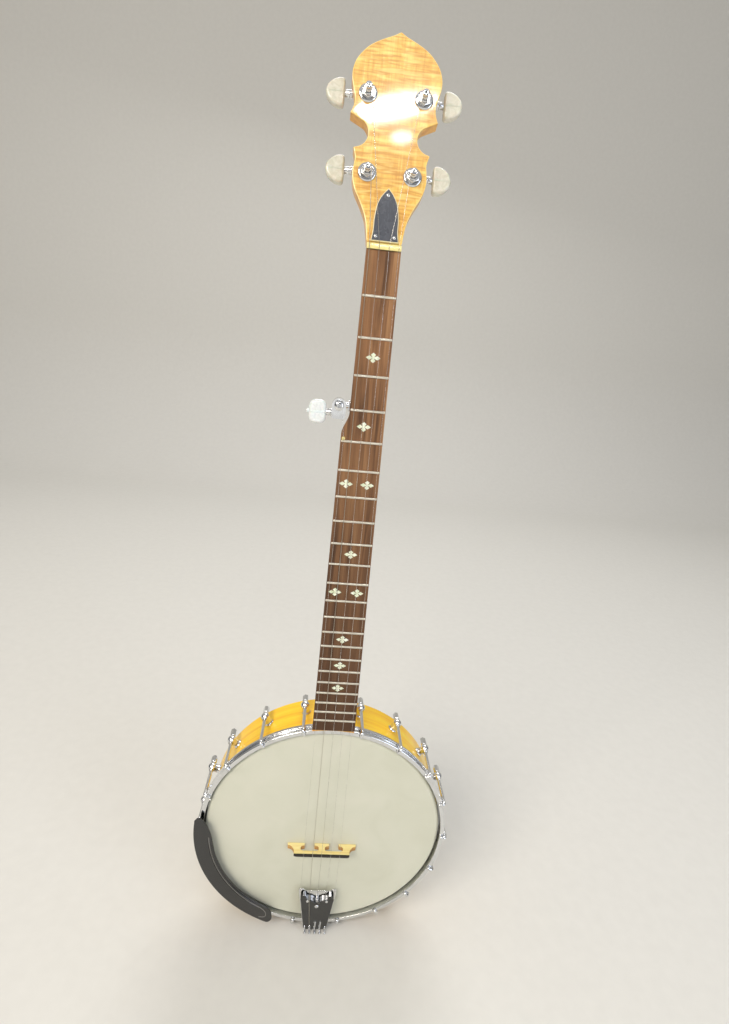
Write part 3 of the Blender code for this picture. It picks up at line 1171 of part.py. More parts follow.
def make_strings():
    mouth = BASE_END + TAIL_LENGTH + 1.0 * MM
    pins = tail_pins()
    in_tail = -BASE_RISE - STRING_RISE_IN_TAIL
    over_cover = -BASE_RISE - TAIL_COVER_RISE - SEAT_GAP
    pin_z = BASE_END + TAIL_PIN_INSET
    _, band_high = string_band()
    for number, radius in STRING_RADII.items():
        place = 3 - int(number)
        start = (pins[number], in_tail, pin_z + TAIL_PIN_RADIUS + SEAT_GAP)
        at_mouth = place * MOUTH_STRING_SPACING
        at_bridge = (place * BRIDGE_STRING_SPACING, BRIDGE_TOP - SEAT_GAP - radius, -BRIDGE_BELOW_CENTRE)
        route = [start, (at_mouth, in_tail, mouth), at_bridge]
        if number == "4":
            over = over_cover - radius
            cover_low = BASE_END + TAIL_COVER_START - 0.6 * MM
            cover_high = BASE_END + TAIL_COVER_START + TAIL_COVER_LENGTH
            route = [start, (pins[number], over, cover_low), (at_mouth + 0.9 * MM, over, cover_high), at_bridge]
        if number == "5":
            x, z = pip_place()
            post_x, post_y, post_z = fifth_tuner_place()
            touch = POST_WAIST_RADIUS + SEAT_GAP + radius
            route += [(x, -FINGERBOARD_RISE - SEAT_GAP - PIP_HEIGHT - SEAT_GAP - radius, z),
                      (post_x + touch, post_y - 3.9 * MM, post_z)]
        else:
            nut_x = NECK_X_AT_NUT + (2.5 - int(number)) * NUT_STRING_SPACING
            route.append((nut_x, NUT_TOP - SEAT_GAP - radius, NUT_Z + NUT_THICKNESS / 2))
            row = "lower" if number in "14" else "upper"
            side = -1 if number in "34" else 1
            post_x, post_z = POST_PLACES[row]
            touch = POST_WAIST_RADIUS + SEAT_GAP + radius
            height = HEADSTOCK_THICKNESS - band_high + 1.0 * MM
            route.append(headstock_point(side * (post_x - touch), height, post_z))
        string = tube(f"string_{number}", route, radius)
        finish(string, STEEL, True)


make_rim()
make_tone_ring()
make_head()
make_hoops()
make_brackets()
make_fingerboard()
HOLES = headstock_holes()
make_neck(HOLES)
make_overlay(HOLES)
make_nut()
make_pip()
make_truss_cover()
make_truss_rod()
make_headstock_tuners()
make_fifth_tuner()
make_coordinator_rod()
make_tailpiece()
make_armrest()
make_bridge()
make_strings()
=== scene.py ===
import json
import math

import bmesh
import bpy
from mathutils import Matrix, Vector

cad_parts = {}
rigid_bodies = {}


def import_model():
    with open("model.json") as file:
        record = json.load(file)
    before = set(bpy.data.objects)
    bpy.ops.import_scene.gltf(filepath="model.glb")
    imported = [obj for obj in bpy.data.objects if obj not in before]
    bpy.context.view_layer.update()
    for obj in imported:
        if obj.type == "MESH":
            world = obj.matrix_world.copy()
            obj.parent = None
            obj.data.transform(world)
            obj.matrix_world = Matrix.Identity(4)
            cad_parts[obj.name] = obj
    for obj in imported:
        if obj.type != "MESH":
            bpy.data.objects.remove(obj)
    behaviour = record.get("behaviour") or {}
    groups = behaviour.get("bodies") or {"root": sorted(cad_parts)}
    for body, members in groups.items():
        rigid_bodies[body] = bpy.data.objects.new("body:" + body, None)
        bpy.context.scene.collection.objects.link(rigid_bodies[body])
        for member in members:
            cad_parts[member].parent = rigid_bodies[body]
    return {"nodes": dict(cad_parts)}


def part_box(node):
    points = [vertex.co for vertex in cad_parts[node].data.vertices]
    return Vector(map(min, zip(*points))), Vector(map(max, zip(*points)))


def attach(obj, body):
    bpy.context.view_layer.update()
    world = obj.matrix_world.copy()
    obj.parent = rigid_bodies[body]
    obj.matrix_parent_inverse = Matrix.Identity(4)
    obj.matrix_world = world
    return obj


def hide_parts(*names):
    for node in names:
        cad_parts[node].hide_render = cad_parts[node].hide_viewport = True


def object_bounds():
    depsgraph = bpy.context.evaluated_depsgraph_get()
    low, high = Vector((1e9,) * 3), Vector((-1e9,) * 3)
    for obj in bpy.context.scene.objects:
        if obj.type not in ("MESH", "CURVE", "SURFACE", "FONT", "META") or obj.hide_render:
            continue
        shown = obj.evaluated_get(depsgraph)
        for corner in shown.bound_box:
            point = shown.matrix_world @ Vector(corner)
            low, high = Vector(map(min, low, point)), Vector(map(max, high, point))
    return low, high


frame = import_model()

mm = 0.001
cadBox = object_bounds()
mainBody = "banjo"
seatGap = 0.3

# Lengths below are in millimetres. In the pot's frame x goes right, y is the depth behind the
# tension hoop's front edge, and z runs from the pot's centre up the neck.
hoopLow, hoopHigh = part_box("tension_hoop")
potFrame = Matrix.Translation((0, hoopLow.y, (hoopLow.z + hoopHigh.z) / 2)) @ Matrix.Scale(mm, 4)
toPot = potFrame.inverted()


def boxOf(node):
    low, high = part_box(node)
    return toPot @ low, toPot @ high


nutLow, nutHigh = boxOf("string_nut")
boardLow, boardHigh = boxOf("fingerboard")
neckFront = boardHigh.y + seatGap
stockPlace = Vector(((nutLow.x + nutHigh.x) / 2, neckFront, nutHigh.z))
stockFrame = potFrame @ Matrix.Translation(stockPlace) @ Matrix.Rotation(math.radians(-14), 4, "X")
bpy.context.scene.view_settings.view_transform = "Standard"


# Camera, floor and lights

camera = {
    "place": (-0.0345, -0.580, 0.7172),
    "look": (0.0785, 0.9512, -0.2984),
    "up": (-0.0775, 0.3042, 0.9494),
    "focalPixels": 570.84,
    "picturePixels": 1024,          # the picture's height
    "sensor": 36,
}
studio = {
    "floor": "DAD8D2",
    "floorShade": "D3D1CB",
    "floorReach": 6.0,
    "floorGap": 0.0005,             # below the banjo's lowest point
    "wallDistance": 1.9,
    "wallBend": 0.7,
    "sky": ((0.0, "A8A59F"), (0.3, "C9C7C2"), (0.37, "626367"), (0.5, "7C7E82"), (1.0, "F4F4F2")),
    "skyStrength": 0.75,
}


def linear(code):
    parts = [int(code[i:i + 2], 16) / 255 for i in (0, 2, 4)]
    return [part / 12.92 if part <= 0.04045 else ((part + 0.055) / 1.055) ** 2.4 for part in parts] + [1.0]


def addNode(tree, kind, settings=None, links=None):
    node = tree.nodes.new("ShaderNode" + kind)
    for name, value in (settings or {}).items():
        if name == "stops":
            stops = node.color_ramp.elements
            while len(stops) < len(value):
                stops.new(0.5)
            for stop, (position, colour) in zip(stops, value):
                stop.position = position
                stop.color = linear(colour)
        elif isinstance(name, int) or name[0].isupper():
            node.inputs[name].default_value = value
        else:
            setattr(node, name, value)
    for name, source in (links or {}).items():
        tree.links.new(source, node.inputs[name])
    return node


def newMaterial(name, surface):
    # gives its coordinate socket too, which the patterns follow
    made = bpy.data.materials.new(name)
    made.use_nodes = True
    shader = made.node_tree.nodes["Principled BSDF"]
    for key, value in surface.items():
        shader.inputs[key].default_value = linear(value) if isinstance(value, str) else value
    return made, made.node_tree, shader, addNode(made.node_tree, "TexCoord").outputs["Object"]


def setStage():
    look = Vector(camera["look"]).normalized()
    right = look.cross(Vector(camera["up"])).normalized()
    up = right.cross(look)
    data = bpy.data.cameras.new("camera")
    data.sensor_width = camera["sensor"]
    data.lens = camera["focalPixels"] / camera["picturePixels"] * camera["sensor"]
    data.clip_start = 0.01
    eye = bpy.data.objects.new("camera", data)
    eye.matrix_world = Matrix.Translation(camera["place"]) @ Matrix((right, up, -look)).transposed().to_4x4()
    bpy.context.scene.collection.objects.link(eye)
    bpy.context.scene.camera = eye

    reach, wall, bend = studio["floorReach"], studio["wallDistance"], studio["wallBend"]
    low = cadBox[0].z - studio["floorGap"]
    bm = bmesh.new()
    edge = bmesh.ops.create_grid(bm, x_segments=1, y_segments=1, size=reach)["verts"]
    bmesh.ops.translate(bm, vec=(0, wall - reach, low), verts=edge)
    back = [e for e in bm.edges if all(abs(v.co.y - wall) < 0.001 for v in e.verts)]
    bmesh.ops.spin(bm, geom=back, cent=(0, wall, low + bend), axis=(1, 0, 0), angle=math.pi / 2, steps=24)
    top = [e for e in bm.edges if all(abs(v.co.z - low - bend) < 0.001 for v in e.verts)]
    risen = bmesh.ops.extrude_edge_only(bm, edges=top)["geom"]
    bmesh.ops.translate(bm, vec=(0, 0, reach), verts=[v for v in risen if isinstance(v, bmesh.types.BMVert)])
    bmesh.ops.recalc_face_normals(bm, faces=bm.faces)
    mesh = bpy.data.meshes.new("floor")
    bm.to_mesh(mesh)
    bm.free()
    mesh.shade_smooth()
    # painted studio paper, matt: a faint tooth keeps its highlight dull
    paper, tree, shader, place = newMaterial("painted studio paper", {"Roughness": 0.85})
    tooth = addNode(tree, "TexNoise", {"Scale": 60.0, "Detail": 3.0}, {"Vector": place})
    tone = addNode(tree, "ValToRGB", {"stops": [(0.0, studio["floorShade"]), (1.0, studio["floor"])]},
                   {"Fac": tooth.outputs["Fac"]})
    tree.links.new(tone.outputs["Color"], shader.inputs["Base Color"])
    mesh.materials.append(paper)
    floor = bpy.data.objects.new("floor", mesh)
    bpy.context.scene.collection.objects.link(floor)

    aim = Vector((0, 0, 0.45))
    for name, place, size, power, colour in (
            ("key", (-1.5, -2.0, 2.3), (1.6, 1.2), 68, "FFF6EA"),
            ("fill", (1.9, -1.7, 1.1), (1.2, 1.8), 22, "EAF1FF"),
            ("back", (0.3, 1.5, 2.4), (1.6, 0.7), 26, "FFFFFF"),
            ("front", (0.2, -3.4, 0.7), (2.6, 1.2), 6, "FFFFFF"),
            ("crown", (0.083, -0.984, 1.904), (0.27, 0.062), 1.43, "FFFFFF"),
            ("crownLow", (0.120, -1.022, 1.848), (0.065, 0.028), 0.14, "FFFFFF")):
        light = bpy.data.lights.new(name, "AREA")
        light.shape = "ELLIPSE" if "crown" in name else "RECTANGLE"
        light.size, light.size_y = size
        light.energy = power
        light.color = linear(colour)[:3]
        lamp = bpy.data.objects.new(name, light)
        lamp.location = place
        lamp.rotation_euler = (aim - Vector(place)).to_track_quat("-Z", "Y").to_euler()
        if name == "crown":
            lamp.rotation_euler.rotate_axis("Z", math.radians(12))
        bpy.context.scene.collection.objects.link(lamp)
    world = bpy.data.worlds.new("studio")
    world.use_nodes = True
    tree = world.node_tree
    place = addNode(tree, "TexCoord")
    height = addNode(tree, "SeparateXYZ", links={"Vector": place.outputs["Generated"]})
    share = addNode(tree, "MapRange", {"From Min": -0.5, "From Max": 1.0}, {"Value": height.outputs["Z"]})
    sky = addNode(tree, "ValToRGB", {"stops": studio["sky"]}, {"Fac": share.outputs["Result"]})
    tree.links.new(sky.outputs["Color"], tree.nodes["Background"].inputs["Color"])
    tree.nodes["Background"].inputs["Strength"].default_value = studio["skyStrength"]
    bpy.context.scene.world = world


setStage()
print("stage set")


# Shaping helpers

standing = Matrix(((0, 1, 0, 0), (1, 0, 0, 0), (0, 0, 1, 0), (0, 0, 0, 1)))      # swaps x and y
acrossX = Matrix.Rotation(-math.pi / 2, 4, "Z")      # turns a shape on Y to lie on X


def at(x, y, z):
    return Matrix.Translation((x, y, z))


def moved(bm, matrix):
    bmesh.ops.transform(bm, matrix=matrix, verts=bm.verts)
    return bm


def stood(bm):
    moved(bm, standing)
    bmesh.ops.recalc_face_normals(bm, faces=bm.faces)
    return bm


def put(bm, other, matrix=None):
    # adds one shape to another and frees it
    if matrix:
        moved(other, matrix)
    carrier = bpy.data.meshes.new("carrier")
    other.to_mesh(carrier)
    other.free()
    bm.from_mesh(carrier)
    bpy.data.meshes.remove(carrier)


def spread(first, last, count):
    return [first + (last - first) * step / count for step in range(count + 1)]


def hexagon(radius):
    return [(radius * math.sin(a), radius * math.cos(a)) for a in spread(0, math.tau, 6)[:-1]]


def roundOff(points, radius, steps=4):
    # a closed outline with its corners rounded; radius is one length, or one for each point
    line = []
    for i, point in enumerate(points):
        here = Vector(point)
        before, after = Vector(points[i - 1]), Vector(points[(i + 1) % len(points)])
        want = radius[i] if isinstance(radius, (list, tuple)) else radius
        if not want:
            line.append(here)
            continue
        start = here + (before - here).normalized() * min(want, (before - here).length * 0.48)
        end = here + (after - here).normalized() * min(want, (after - here).length * 0.48)
        for step in range(steps + 1):
            t = step / steps
            line.append(start * (1 - t) ** 2 + here * 2 * t * (1 - t) + end * t * t)
    return line


def smoothLine(points, steps):
    # a smooth line through all the points
    line = [Vector(p) for p in points]
    line = [2 * line[0] - line[1], *line, 2 * line[-1] - line[-2]]
    made = []
    for a, b, c, d in zip(line, line[1:], line[2:], line[3:]):
        for step in range(steps):
            t = step / steps
            bent = b * 2 + (c - a) * t + (a * 2 - b * 5 + c * 4 - d) * t * t
            made.append((bent + (b * 3 - a - c * 3 + d) * t ** 3) / 2)
    return made + [line[-2]]


def mirrored(half):
    return list(half) + [(-x, z) for x, z in reversed(half) if abs(x) > 1e-6]


def spun(profile, steps, closed=False):
    # turns (radius, depth) points round the Y axis
    bm = bmesh.new()
    verts = [bm.verts.new((0, depth, radius)) for radius, depth in profile]
    edges = [bm.edges.new(pair) for pair in zip(verts, verts[1:])]
    if closed:
        edges.append(bm.edges.new((verts[-1], verts[0])))
    bmesh.ops.spin(bm, geom=verts + edges, cent=(0, 0, 0), axis=(0, 1, 0), angle=math.tau, steps=steps,
                   use_merge=True)
    bmesh.ops.remove_doubles(bm, verts=bm.verts, dist=1e-4)
    bmesh.ops.recalc_face_normals(bm, faces=bm.faces)
    return bm


def barrel(radius, low, high, steps):
    return spun([(0, low), (radius, low), (radius, high), (0, high)], steps)


def slab(outline, low, high, edge=0.0, segments=3, sides="both"):
    # an (x, z) outline filled and drawn out along Y, with its front and back edges rounded
    bm = bmesh.new()
    face = bm.faces.new([bm.verts.new((x, low, z)) for x, z in outline])
    grown = bmesh.ops.extrude_face_region(bm, geom=[face])["geom"]
    bmesh.ops.translate(bm, vec=(0, high - low, 0),
                        verts=[v for v in grown if isinstance(v, bmesh.types.BMVert)])
    bmesh.ops.recalc_face_normals(bm, faces=bm.faces)
    if edge:
        ends = {"both": (low, high), "front": (low,), "back": (high,)}[sides]
        rim = [e for e in bm.edges if any(all(abs(v.co.y - end) < 1e-4 for v in e.verts) for end in ends)]
        bmesh.ops.bevel(bm, geom=rim, offset=edge, segments=segments, profile=0.5, affect="EDGES",
                        material=-1, clamp_overlap=True)
    return bm


def wire(points, radius, sides, taper=None):
    # a round wire along the points; taper gives the radius at each point as a share
    curve = bpy.data.curves.new("wire", "CURVE")
    curve.dimensions = "3D"
    curve.bevel_depth = radius
    curve.bevel_resolution = max(0, (sides - 4) // 2)
    curve.use_fill_caps = True
    line = curve.splines.new("POLY")
    line.points.add(len(points) - 1)
    for i, (point, place) in enumerate(zip(line.points, points)):
        point.co = (*place, 1.0)
        point.radius = taper[i] if taper else 1.0
    carrier = bpy.data.objects.new("wire", curve)
    bm = bmesh.new()
    bm.from_mesh(carrier.to_mesh())
    carrier.to_mesh_clear()
    bpy.data.objects.remove(carrier)
    bpy.data.curves.remove(curve)
    bmesh.ops.remove_doubles(bm, verts=bm.verts, dist=1e-3)
    bmesh.ops.recalc_face_normals(bm, faces=bm.faces)
    return bm


sharpAngle = math.radians(35)
weldGap = 2e-6       # metres


def makePiece(name, bm, materials, body=mainBody, replaces=None, frameOf=potFrame, flat=True):
    moved(bm, frameOf)
    mesh = bpy.data.meshes.new(name)
    bm.to_mesh(mesh)
    bm.free()
    piece = bpy.data.objects.new(name, mesh)
    bpy.context.scene.collection.objects.link(piece)
    for material in materials if isinstance(materials, list) else [materials]:
        mesh.materials.append(material)
    mesh.shade_smooth()
    mesh.set_sharp_from_angle(angle=sharpAngle)
    if flat:
        # large flat faces keep an even shine up to their rounded edges
        piece.modifiers.new("evenShine", "WEIGHTED_NORMAL").keep_sharp = True
    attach(piece, body)
    if replaces:
        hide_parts(replaces)
    return piece


def cutWith(piece, cutters, operation="DIFFERENCE"):
    # cuts (or joins) a piece with bmeshes given in the pot's frame, all in one exact step
    even = [m for m in piece.modifiers if m.type == "WEIGHTED_NORMAL"]
    for modifier in even:
        piece.modifiers.remove(modifier)
    group = bpy.data.collections.new("cutters")
    bpy.context.scene.collection.children.link(group)
    for cutter in cutters:
        mesh = bpy.data.meshes.new("cutter")
        bmesh.ops.recalc_face_normals(cutter, faces=cutter.faces)
        moved(cutter, potFrame)
        cutter.to_mesh(mesh)
        cutter.free()
        group.objects.link(bpy.data.objects.new("cutter", mesh))
    step = piece.modifiers.new("cut", "BOOLEAN")
    step.operation = operation
    step.solver = "EXACT"
    step.operand_type = "COLLECTION"
    step.collection = group
    bpy.context.view_layer.update()
    graph = bpy.context.evaluated_depsgraph_get()
    settled = bpy.data.meshes.new_from_object(piece.evaluated_get(graph), depsgraph=graph)
    # rounding leaves hairline cracks, which would spoil the next cut
    whole = bmesh.new()
    whole.from_mesh(settled)
    bmesh.ops.remove_doubles(whole, verts=whole.verts, dist=weldGap)
    whole.to_mesh(settled)
    whole.free()
    old = piece.data
    piece.modifiers.clear()
    piece.data = settled
    settled.name = old.name
    bpy.data.meshes.remove(old)
    for tool in list(group.objects):
        bpy.data.meshes.remove(tool.data)
    bpy.data.collections.remove(group)
    settled.shade_smooth()
    settled.set_sharp_from_angle(angle=sharpAngle)
    if even:
        piece.modifiers.new("evenShine", "WEIGHTED_NORMAL").keep_sharp = True
    return piece


def polar(radius, angle):
    return Vector((radius * math.sin(angle), 0, radius * math.cos(angle)))


def roundAt(angle):
    return Matrix.Rotation(angle, 4, "Y")


# Materials

def perMm(*lengths):
    # how many features fit in a metre, from a feature's size in millimetres
    return tuple(1000 / length for length in lengths)


def grainOf(tree, place, size, detail=4.0, distortion=0.0):
    # soft noise whose features have the given size in millimetres along x, y and z
    fitted = addNode(tree, "Mapping", {"Scale": perMm(*size)}, {"Vector": place})
    made = addNode(tree, "TexNoise", {"Scale": 1.0, "Detail": detail, "Distortion": distortion},
                   {"Vector": fitted.outputs["Vector"]})
    return made.outputs["Fac"]


def mixed(tree, share, low, high):
    # a colour between low and high, each a hex colour or a socket
    node = addNode(tree, "Mix", {"data_type": "RGBA"}, {0: share})
    for name, value in ((6, low), (7, high)):
        if isinstance(value, str):
            node.inputs[name].default_value = linear(value)
        else:
            tree.links.new(value, node.inputs[name])
    return node.outputs[2]


def bumped(tree, shader, height, depth):
    # depth is the relief in millimetres
    bump = addNode(tree, "Bump", {"Strength": 1.0, "Distance": depth * mm}, {"Height": height})
    tree.links.new(bump.outputs["Normal"], shader.inputs["Normal"])


def stepOf(tree, value, low, high, to=(0.0, 1.0)):
    node = addNode(tree, "MapRange", {"From Min": low, "From Max": high, "To Min": to[0], "To Max": to[1]},
                   {"Value": value})
    return node.outputs["Result"]


rimRun = 0.1397         # metres along the rim for each radian


def woodMaterial(name, surface, tones, along="Z", figure=None, ringed=False, shade=None):
    # tones: light, middle and dark; figure: size and colour of the cross bands
    made, tree, shader, place = newMaterial(name, surface)
    if ringed:
        # the grain runs round the rim: its place is measured along the circumference
        parts = addNode(tree, "SeparateXYZ", {}, {"Vector": place})
        high = addNode(tree, "Math", {"operation": "SUBTRACT", 1: potFrame.translation.z},
                       {0: parts.outputs["Z"]})
        turn = addNode(tree, "Math", {"operation": "ARCTAN2"}, {0: parts.outputs["X"], 1: high.outputs[0]})
        run = addNode(tree, "Math", {"operation": "MULTIPLY", 1: rimRun}, {0: turn.outputs[0]})
        wrapped = addNode(tree, "CombineXYZ", {"X": 0.0}, {"Y": parts.outputs["Y"], "Z": run.outputs[0]})
        place = wrapped.outputs[0]
    fine, wide = (0.7, 0.7, 22.0), (7.0, 7.0, 160.0)
    if along == "X":
        fine, wide = fine[::-1], wide[::-1]
    fibre = grainOf(tree, place, fine, 6.0, 0.3)
    rings = grainOf(tree, place, wide, 3.0, 0.8)
    tone = addNode(tree, "ValToRGB", {"stops": [(0.30, tones[2]), (0.52, tones[1]), (0.75, tones[0])]},
                   {"Fac": rings})
    colour = mixed(tree, stepOf(tree, fibre, 0.35, 0.75, (0.0, 0.35)), tone.outputs["Color"], tones[2])
    if figure:
        bands = grainOf(tree, place, figure["size"], 3.0, figure["wave"])
        amount = stepOf(tree, bands, 0.42, 0.62, (0.0, figure["share"]))
        colour = mixed(tree, amount, colour, figure["colour"])
    if figure and "lines" in figure:
        # upright lines where the saw met the waves, so that the figure looks woven
        lines = grainOf(tree, place, figure["lines"], 2.0, 0.1)
        amount = stepOf(tree, lines, 0.5, 0.66, (0.0, figure["lineShare"]))
        colour = mixed(tree, amount, colour, figure["colour"])
        light = grainOf(tree, place, (figure["size"][0], 40.0, figure["size"][2] * 1.7), 1.0, 0.4)
        colour = mixed(tree, stepOf(tree, light, 0.5, 0.68, (0.0, 0.55)), colour, tones[0])
    if shade:
        # darker towards one end, along the height
        height = addNode(tree, "SeparateXYZ", {}, {"Vector": place}).outputs["Z"]
        colour = mixed(tree, stepOf(tree, height, *shade["from"], (0.0, shade["share"])), colour, tones[2])
    tree.links.new(colour, shader.inputs["Base Color"])
    bumped(tree, shader, fibre, 0.008 if surface.get("Coat Weight") else 0.03)
    return made


# maple under gloss lacquer: honey yellow with fine fibres and a clear hard shine
rimMaple = woodMaterial("lacquered maple rim", {
    "Roughness": 0.38, "IOR": 1.5, "Coat Weight": 0.45, "Coat Roughness": 0.09},
    ("FFDE3A", "FFD020", "F5B416"),
    figure={"size": (30.0, 9.0, 7.0), "wave": 0.6, "share": 0.3, "colour": "F9C41E"}, ringed=True)
neckMaple = woodMaterial("satin lacquered maple neck", {
    "Roughness": 0.36, "IOR": 1.5, "Coat Weight": 0.5, "Coat Roughness": 0.14},
    ("F2C063", "E9AF4E", "D3913A"))
# figured veneer: the fibres wave, so bands of light and dark lie across the grain
flamedMaple = woodMaterial("flamed maple veneer", {
    "Roughness": 0.3, "IOR": 1.5, "Coat Weight": 1.0, "Coat Roughness": 0.06}, ("FCE084", "F1C45C", "DDA245"),
    figure={"size": (24.0, 40.0, 2.0), "wave": 0.25, "share": 0.8, "colour": "CB8E38",
            "lines": (1.5, 40.0, 38.0), "lineShare": 0.5})
edgeMaple = woodMaterial("bare chamfer of the veneer", {
    "Roughness": 0.3, "IOR": 1.5, "Coat Weight": 1.0, "Coat Roughness": 0.05}, ("FFE08C", "FBD678", "F0C05F"))
# open-pored oiled rosewood: brown with darker streaks, dull between the pores
rosewood = woodMaterial("oiled rosewood", {
    "Roughness": 0.62, "IOR": 1.45}, ("B0855A", "8E6440", "432A17"),
    shade={"from": (0.70, 0.30), "share": 0.9})
ebony = woodMaterial("polished ebony", {
    "Roughness": 0.4, "IOR": 1.5, "Coat Weight": 0.1, "Coat Roughness": 0.2}, ("241D17", "17120E", "0C0907"),
    "X")
bridgeMaple = woodMaterial("bare bridge maple", {
    "Roughness": 0.55, "IOR": 1.5}, ("F6E7A6", "ECD890", "D2B66C"), "X")
# end grain in the bridge's sawn hollows, painted darker and browner as the shade inside them
bridgeHollowShade = woodMaterial("sawn edge of the bridge with painted shade", {
    "Roughness": 0.7, "IOR": 1.5}, ("D9B273", "C6995A", "9C6F38"), "X")


def metalMaterial(name, colour, roughness, haze=0.06, bump=0.004):
    # plated or drawn metal: a clear mirror dulled by faint smears and handling
    made, tree, shader, place = newMaterial(name, {
        "Base Color": colour, "Metallic": 1.0, "Roughness": roughness})
    smear = grainOf(tree, place, (9.0, 9.0, 9.0), 5.0, 0.6)
    tree.links.new(stepOf(tree, smear, 0.3, 0.75, (roughness, roughness + haze)), shader.inputs["Roughness"])
    tone = mixed(tree, stepOf(tree, smear, 0.45, 0.8, (0.0, 0.25)), colour, "9C9A96")
    tree.links.new(tone, shader.inputs["Base Color"])
    bumped(tree, shader, grainOf(tree, place, (0.6, 0.6, 0.6), 2.0), bump)
    return made


chrome = metalMaterial("chrome plate", "E2E3E4", 0.07)
nickel = metalMaterial("polished nickel silver fret wire", "F0EBDC", 0.3, 0.1)
steel = metalMaterial("brushed steel", "B5B6B8", 0.27, 0.12, 0.01)
stringSteel = metalMaterial("drawn string steel", "D6D3CC", 0.22, 0.08)
brass = metalMaterial("rolled brass", "C8A250", 0.25, 0.12)


def headMaterial():
    # sprayed white coat on a film head: matt, faintly mottled, greyer where hands and strings have been
    made, tree, shader, place = newMaterial("frosted head coat", {
        "Roughness": 0.6, "IOR": 1.55, "Sheen Weight": 0.1})
    cloud = grainOf(tree, place, (55.0, 55.0, 55.0), 3.0, 0.5)
    speck = grainOf(tree, place, (0.9, 0.9, 0.9), 2.0)
    tone = addNode(tree, "ValToRGB", {"stops": [(0.3, "C9C9B6"), (0.5, "CECEBC"), (0.72, "D2D1C0")]},
                   {"Fac": cloud})
    colour = mixed(tree, stepOf(tree, speck, 0.4, 0.9, (0.0, 0.12)), tone.outputs["Color"], "B9B7A4")
    tree.links.new(colour, shader.inputs["Base Color"])
    bumped(tree, shader, speck, 0.025)
    return made


def pearloidMaterial(name, tones):
    # pearly celluloid: cloudy flakes a few millimetres wide under a clear gloss
    made, tree, shader, place = newMaterial(name, {
        "Roughness": 0.22, "IOR": 1.5, "Coat Weight": 0.8, "Coat Roughness": 0.06, "Subsurface Weight": 0.12,
        "Subsurface Scale": 0.002})
    bent = grainOf(tree, place, (5.0, 5.0, 5.0), 3.0, 1.5)
    flake = addNode(tree, "TexVoronoi", {"Scale": perMm(3.2)[0], "Randomness": 1.0}, {"Vector": place})
    grey = addNode(tree, "RGBToBW", {}, {"Color": flake.outputs["Color"]})
    both = addNode(tree, "Math", {"operation": "MULTIPLY_ADD", 1: 0.22}, {0: grey.outputs[0], 2: bent})
    tone = addNode(tree, "ValToRGB", {"stops": [(0.42, tones[0]), (0.6, tones[1]), (0.8, tones[2])]},
                   {"Fac": both.outputs[0]})
    tree.links.new(tone.outputs["Color"], shader.inputs["Base Color"])
    return made


def plasticMaterial(name, colour, worn, roughness, coat=0.6, pore=0.5):
    # moulded or sprayed surface with fine handling marks
    made, tree, shader, place = newMaterial(name, {
        "Roughness": roughness, "IOR": 1.5, "Coat Weight": coat, "Coat Roughness": 0.06})
    marks = grainOf(tree, place, (1.2, 1.2, 14.0), 6.0, 1.0)
    cloud = grainOf(tree, place, (12.0, 12.0, 12.0), 4.0)
    tone = mixed(tree, stepOf(tree, marks, 0.45, 0.85, (0.0, 0.5)), colour, worn)
    tree.links.new(tone, shader.inputs["Base Color"])
    tree.links.new(stepOf(tree, cloud, 0.3, 0.8, (roughness, roughness + 0.15)), shader.inputs["Roughness"])
    bumped(tree, shader, grainOf(tree, place, (pore, pore, pore), 2.0), 0.006)
    return made


frostedHead = headMaterial()
pearloid = pearloidMaterial("pearly celluloid", ("C8C5B1", "D0CDBB", "D8D5C6"))
whitePearloid = pearloidMaterial("white pearly celluloid", ("D8DCDC", "E2E6E5", "ECF0EF"))
blackGloss = plasticMaterial("black stove enamel", "0A0A0B", "1C1C1F", 0.12, 0.75)
# grey enamel that paints a highlight on the black armrest, as a pale line along its step
highlightEnamel = plasticMaterial("stove enamel with a painted highlight", "787570", "64615B", 0.4, 0.3)
# black plastic given a grey base and lighter marks: a painted reflection on the cover
coverBlackPaintedSheen = plasticMaterial("black moulded plastic with a painted sheen", "454850", "686C76", 0.22, 1.0)
creamEdge = plasticMaterial("cream plastic ply", "EAE0B8", "CFC296", 0.35, 0.4)
bone = plasticMaterial("polished bone", "EBDC92", "D0BB6A", 0.32, 0.3, 0.25)
petalShell = pearloidMaterial("mother of pearl inlay", ("CFD8B8", "E8EBD0", "F9F8E8"))
print("materials made")


# Pot: rim, tone ring, head and hoops

rimLow, rimHigh = boxOf("rim")
rim = {"radius": rimHigh.x, "wall": 12.5, "front": rimLow.y, "back": rimHigh.y, "edge": 1.6, "steps": 192}
hoop = {"outer": boxOf("tension_hoop")[1].x, "wall": 5.3, "height": 10.0, "waist": 1.9, "notch": 4.9,
        "notchFloor": 0.9, "steps": 288}
head = {"sink": 3.0, "skin": 0.5, "collar": 12.0, "bend": 3.76, "ringRadius": 136.5, "ringWire": 3.2}
flesh = {"inner": 141.06, "outer": 145.86, "front": 10.3, "back": 14.5}
bracket = {
    "angles": (12.9, 32.3, 52.4, 70.5, 90.4, 110.5, 130.0, 148.7, 168.7),
    "circle": 150.06,        # radius at which the hooks stand
    "wire": 2.0,
    "clawRise": 1.4,
    "clawReach": 5.6,
    "shoeDepth": 44.5,
    "shoeRadius": 5.2,
    "shoeLength": 13.6,
    "nutRadius": 3.6,
    "nutEnd": 62.5,
    "boltInner": 126.5,
    "hookTurn": 2.6,         # radius of the bend over the hoop
    "claw": 2.35,
}
bracketAngles = [math.radians(a) for a in bracket["angles"]]
bracketAngles += [math.tau - a for a in reversed(bracketAngles)]


def band(shape, corners, steps):
    # a rounded rectangular section, spun into a ring
    section = [(shape["outer"], shape["front"]), (shape["outer"], shape["back"]),
               (shape["inner"], shape["back"]), (shape["inner"], shape["front"])]
    return spun(roundOff(section, corners, steps), rim["steps"], closed=True)


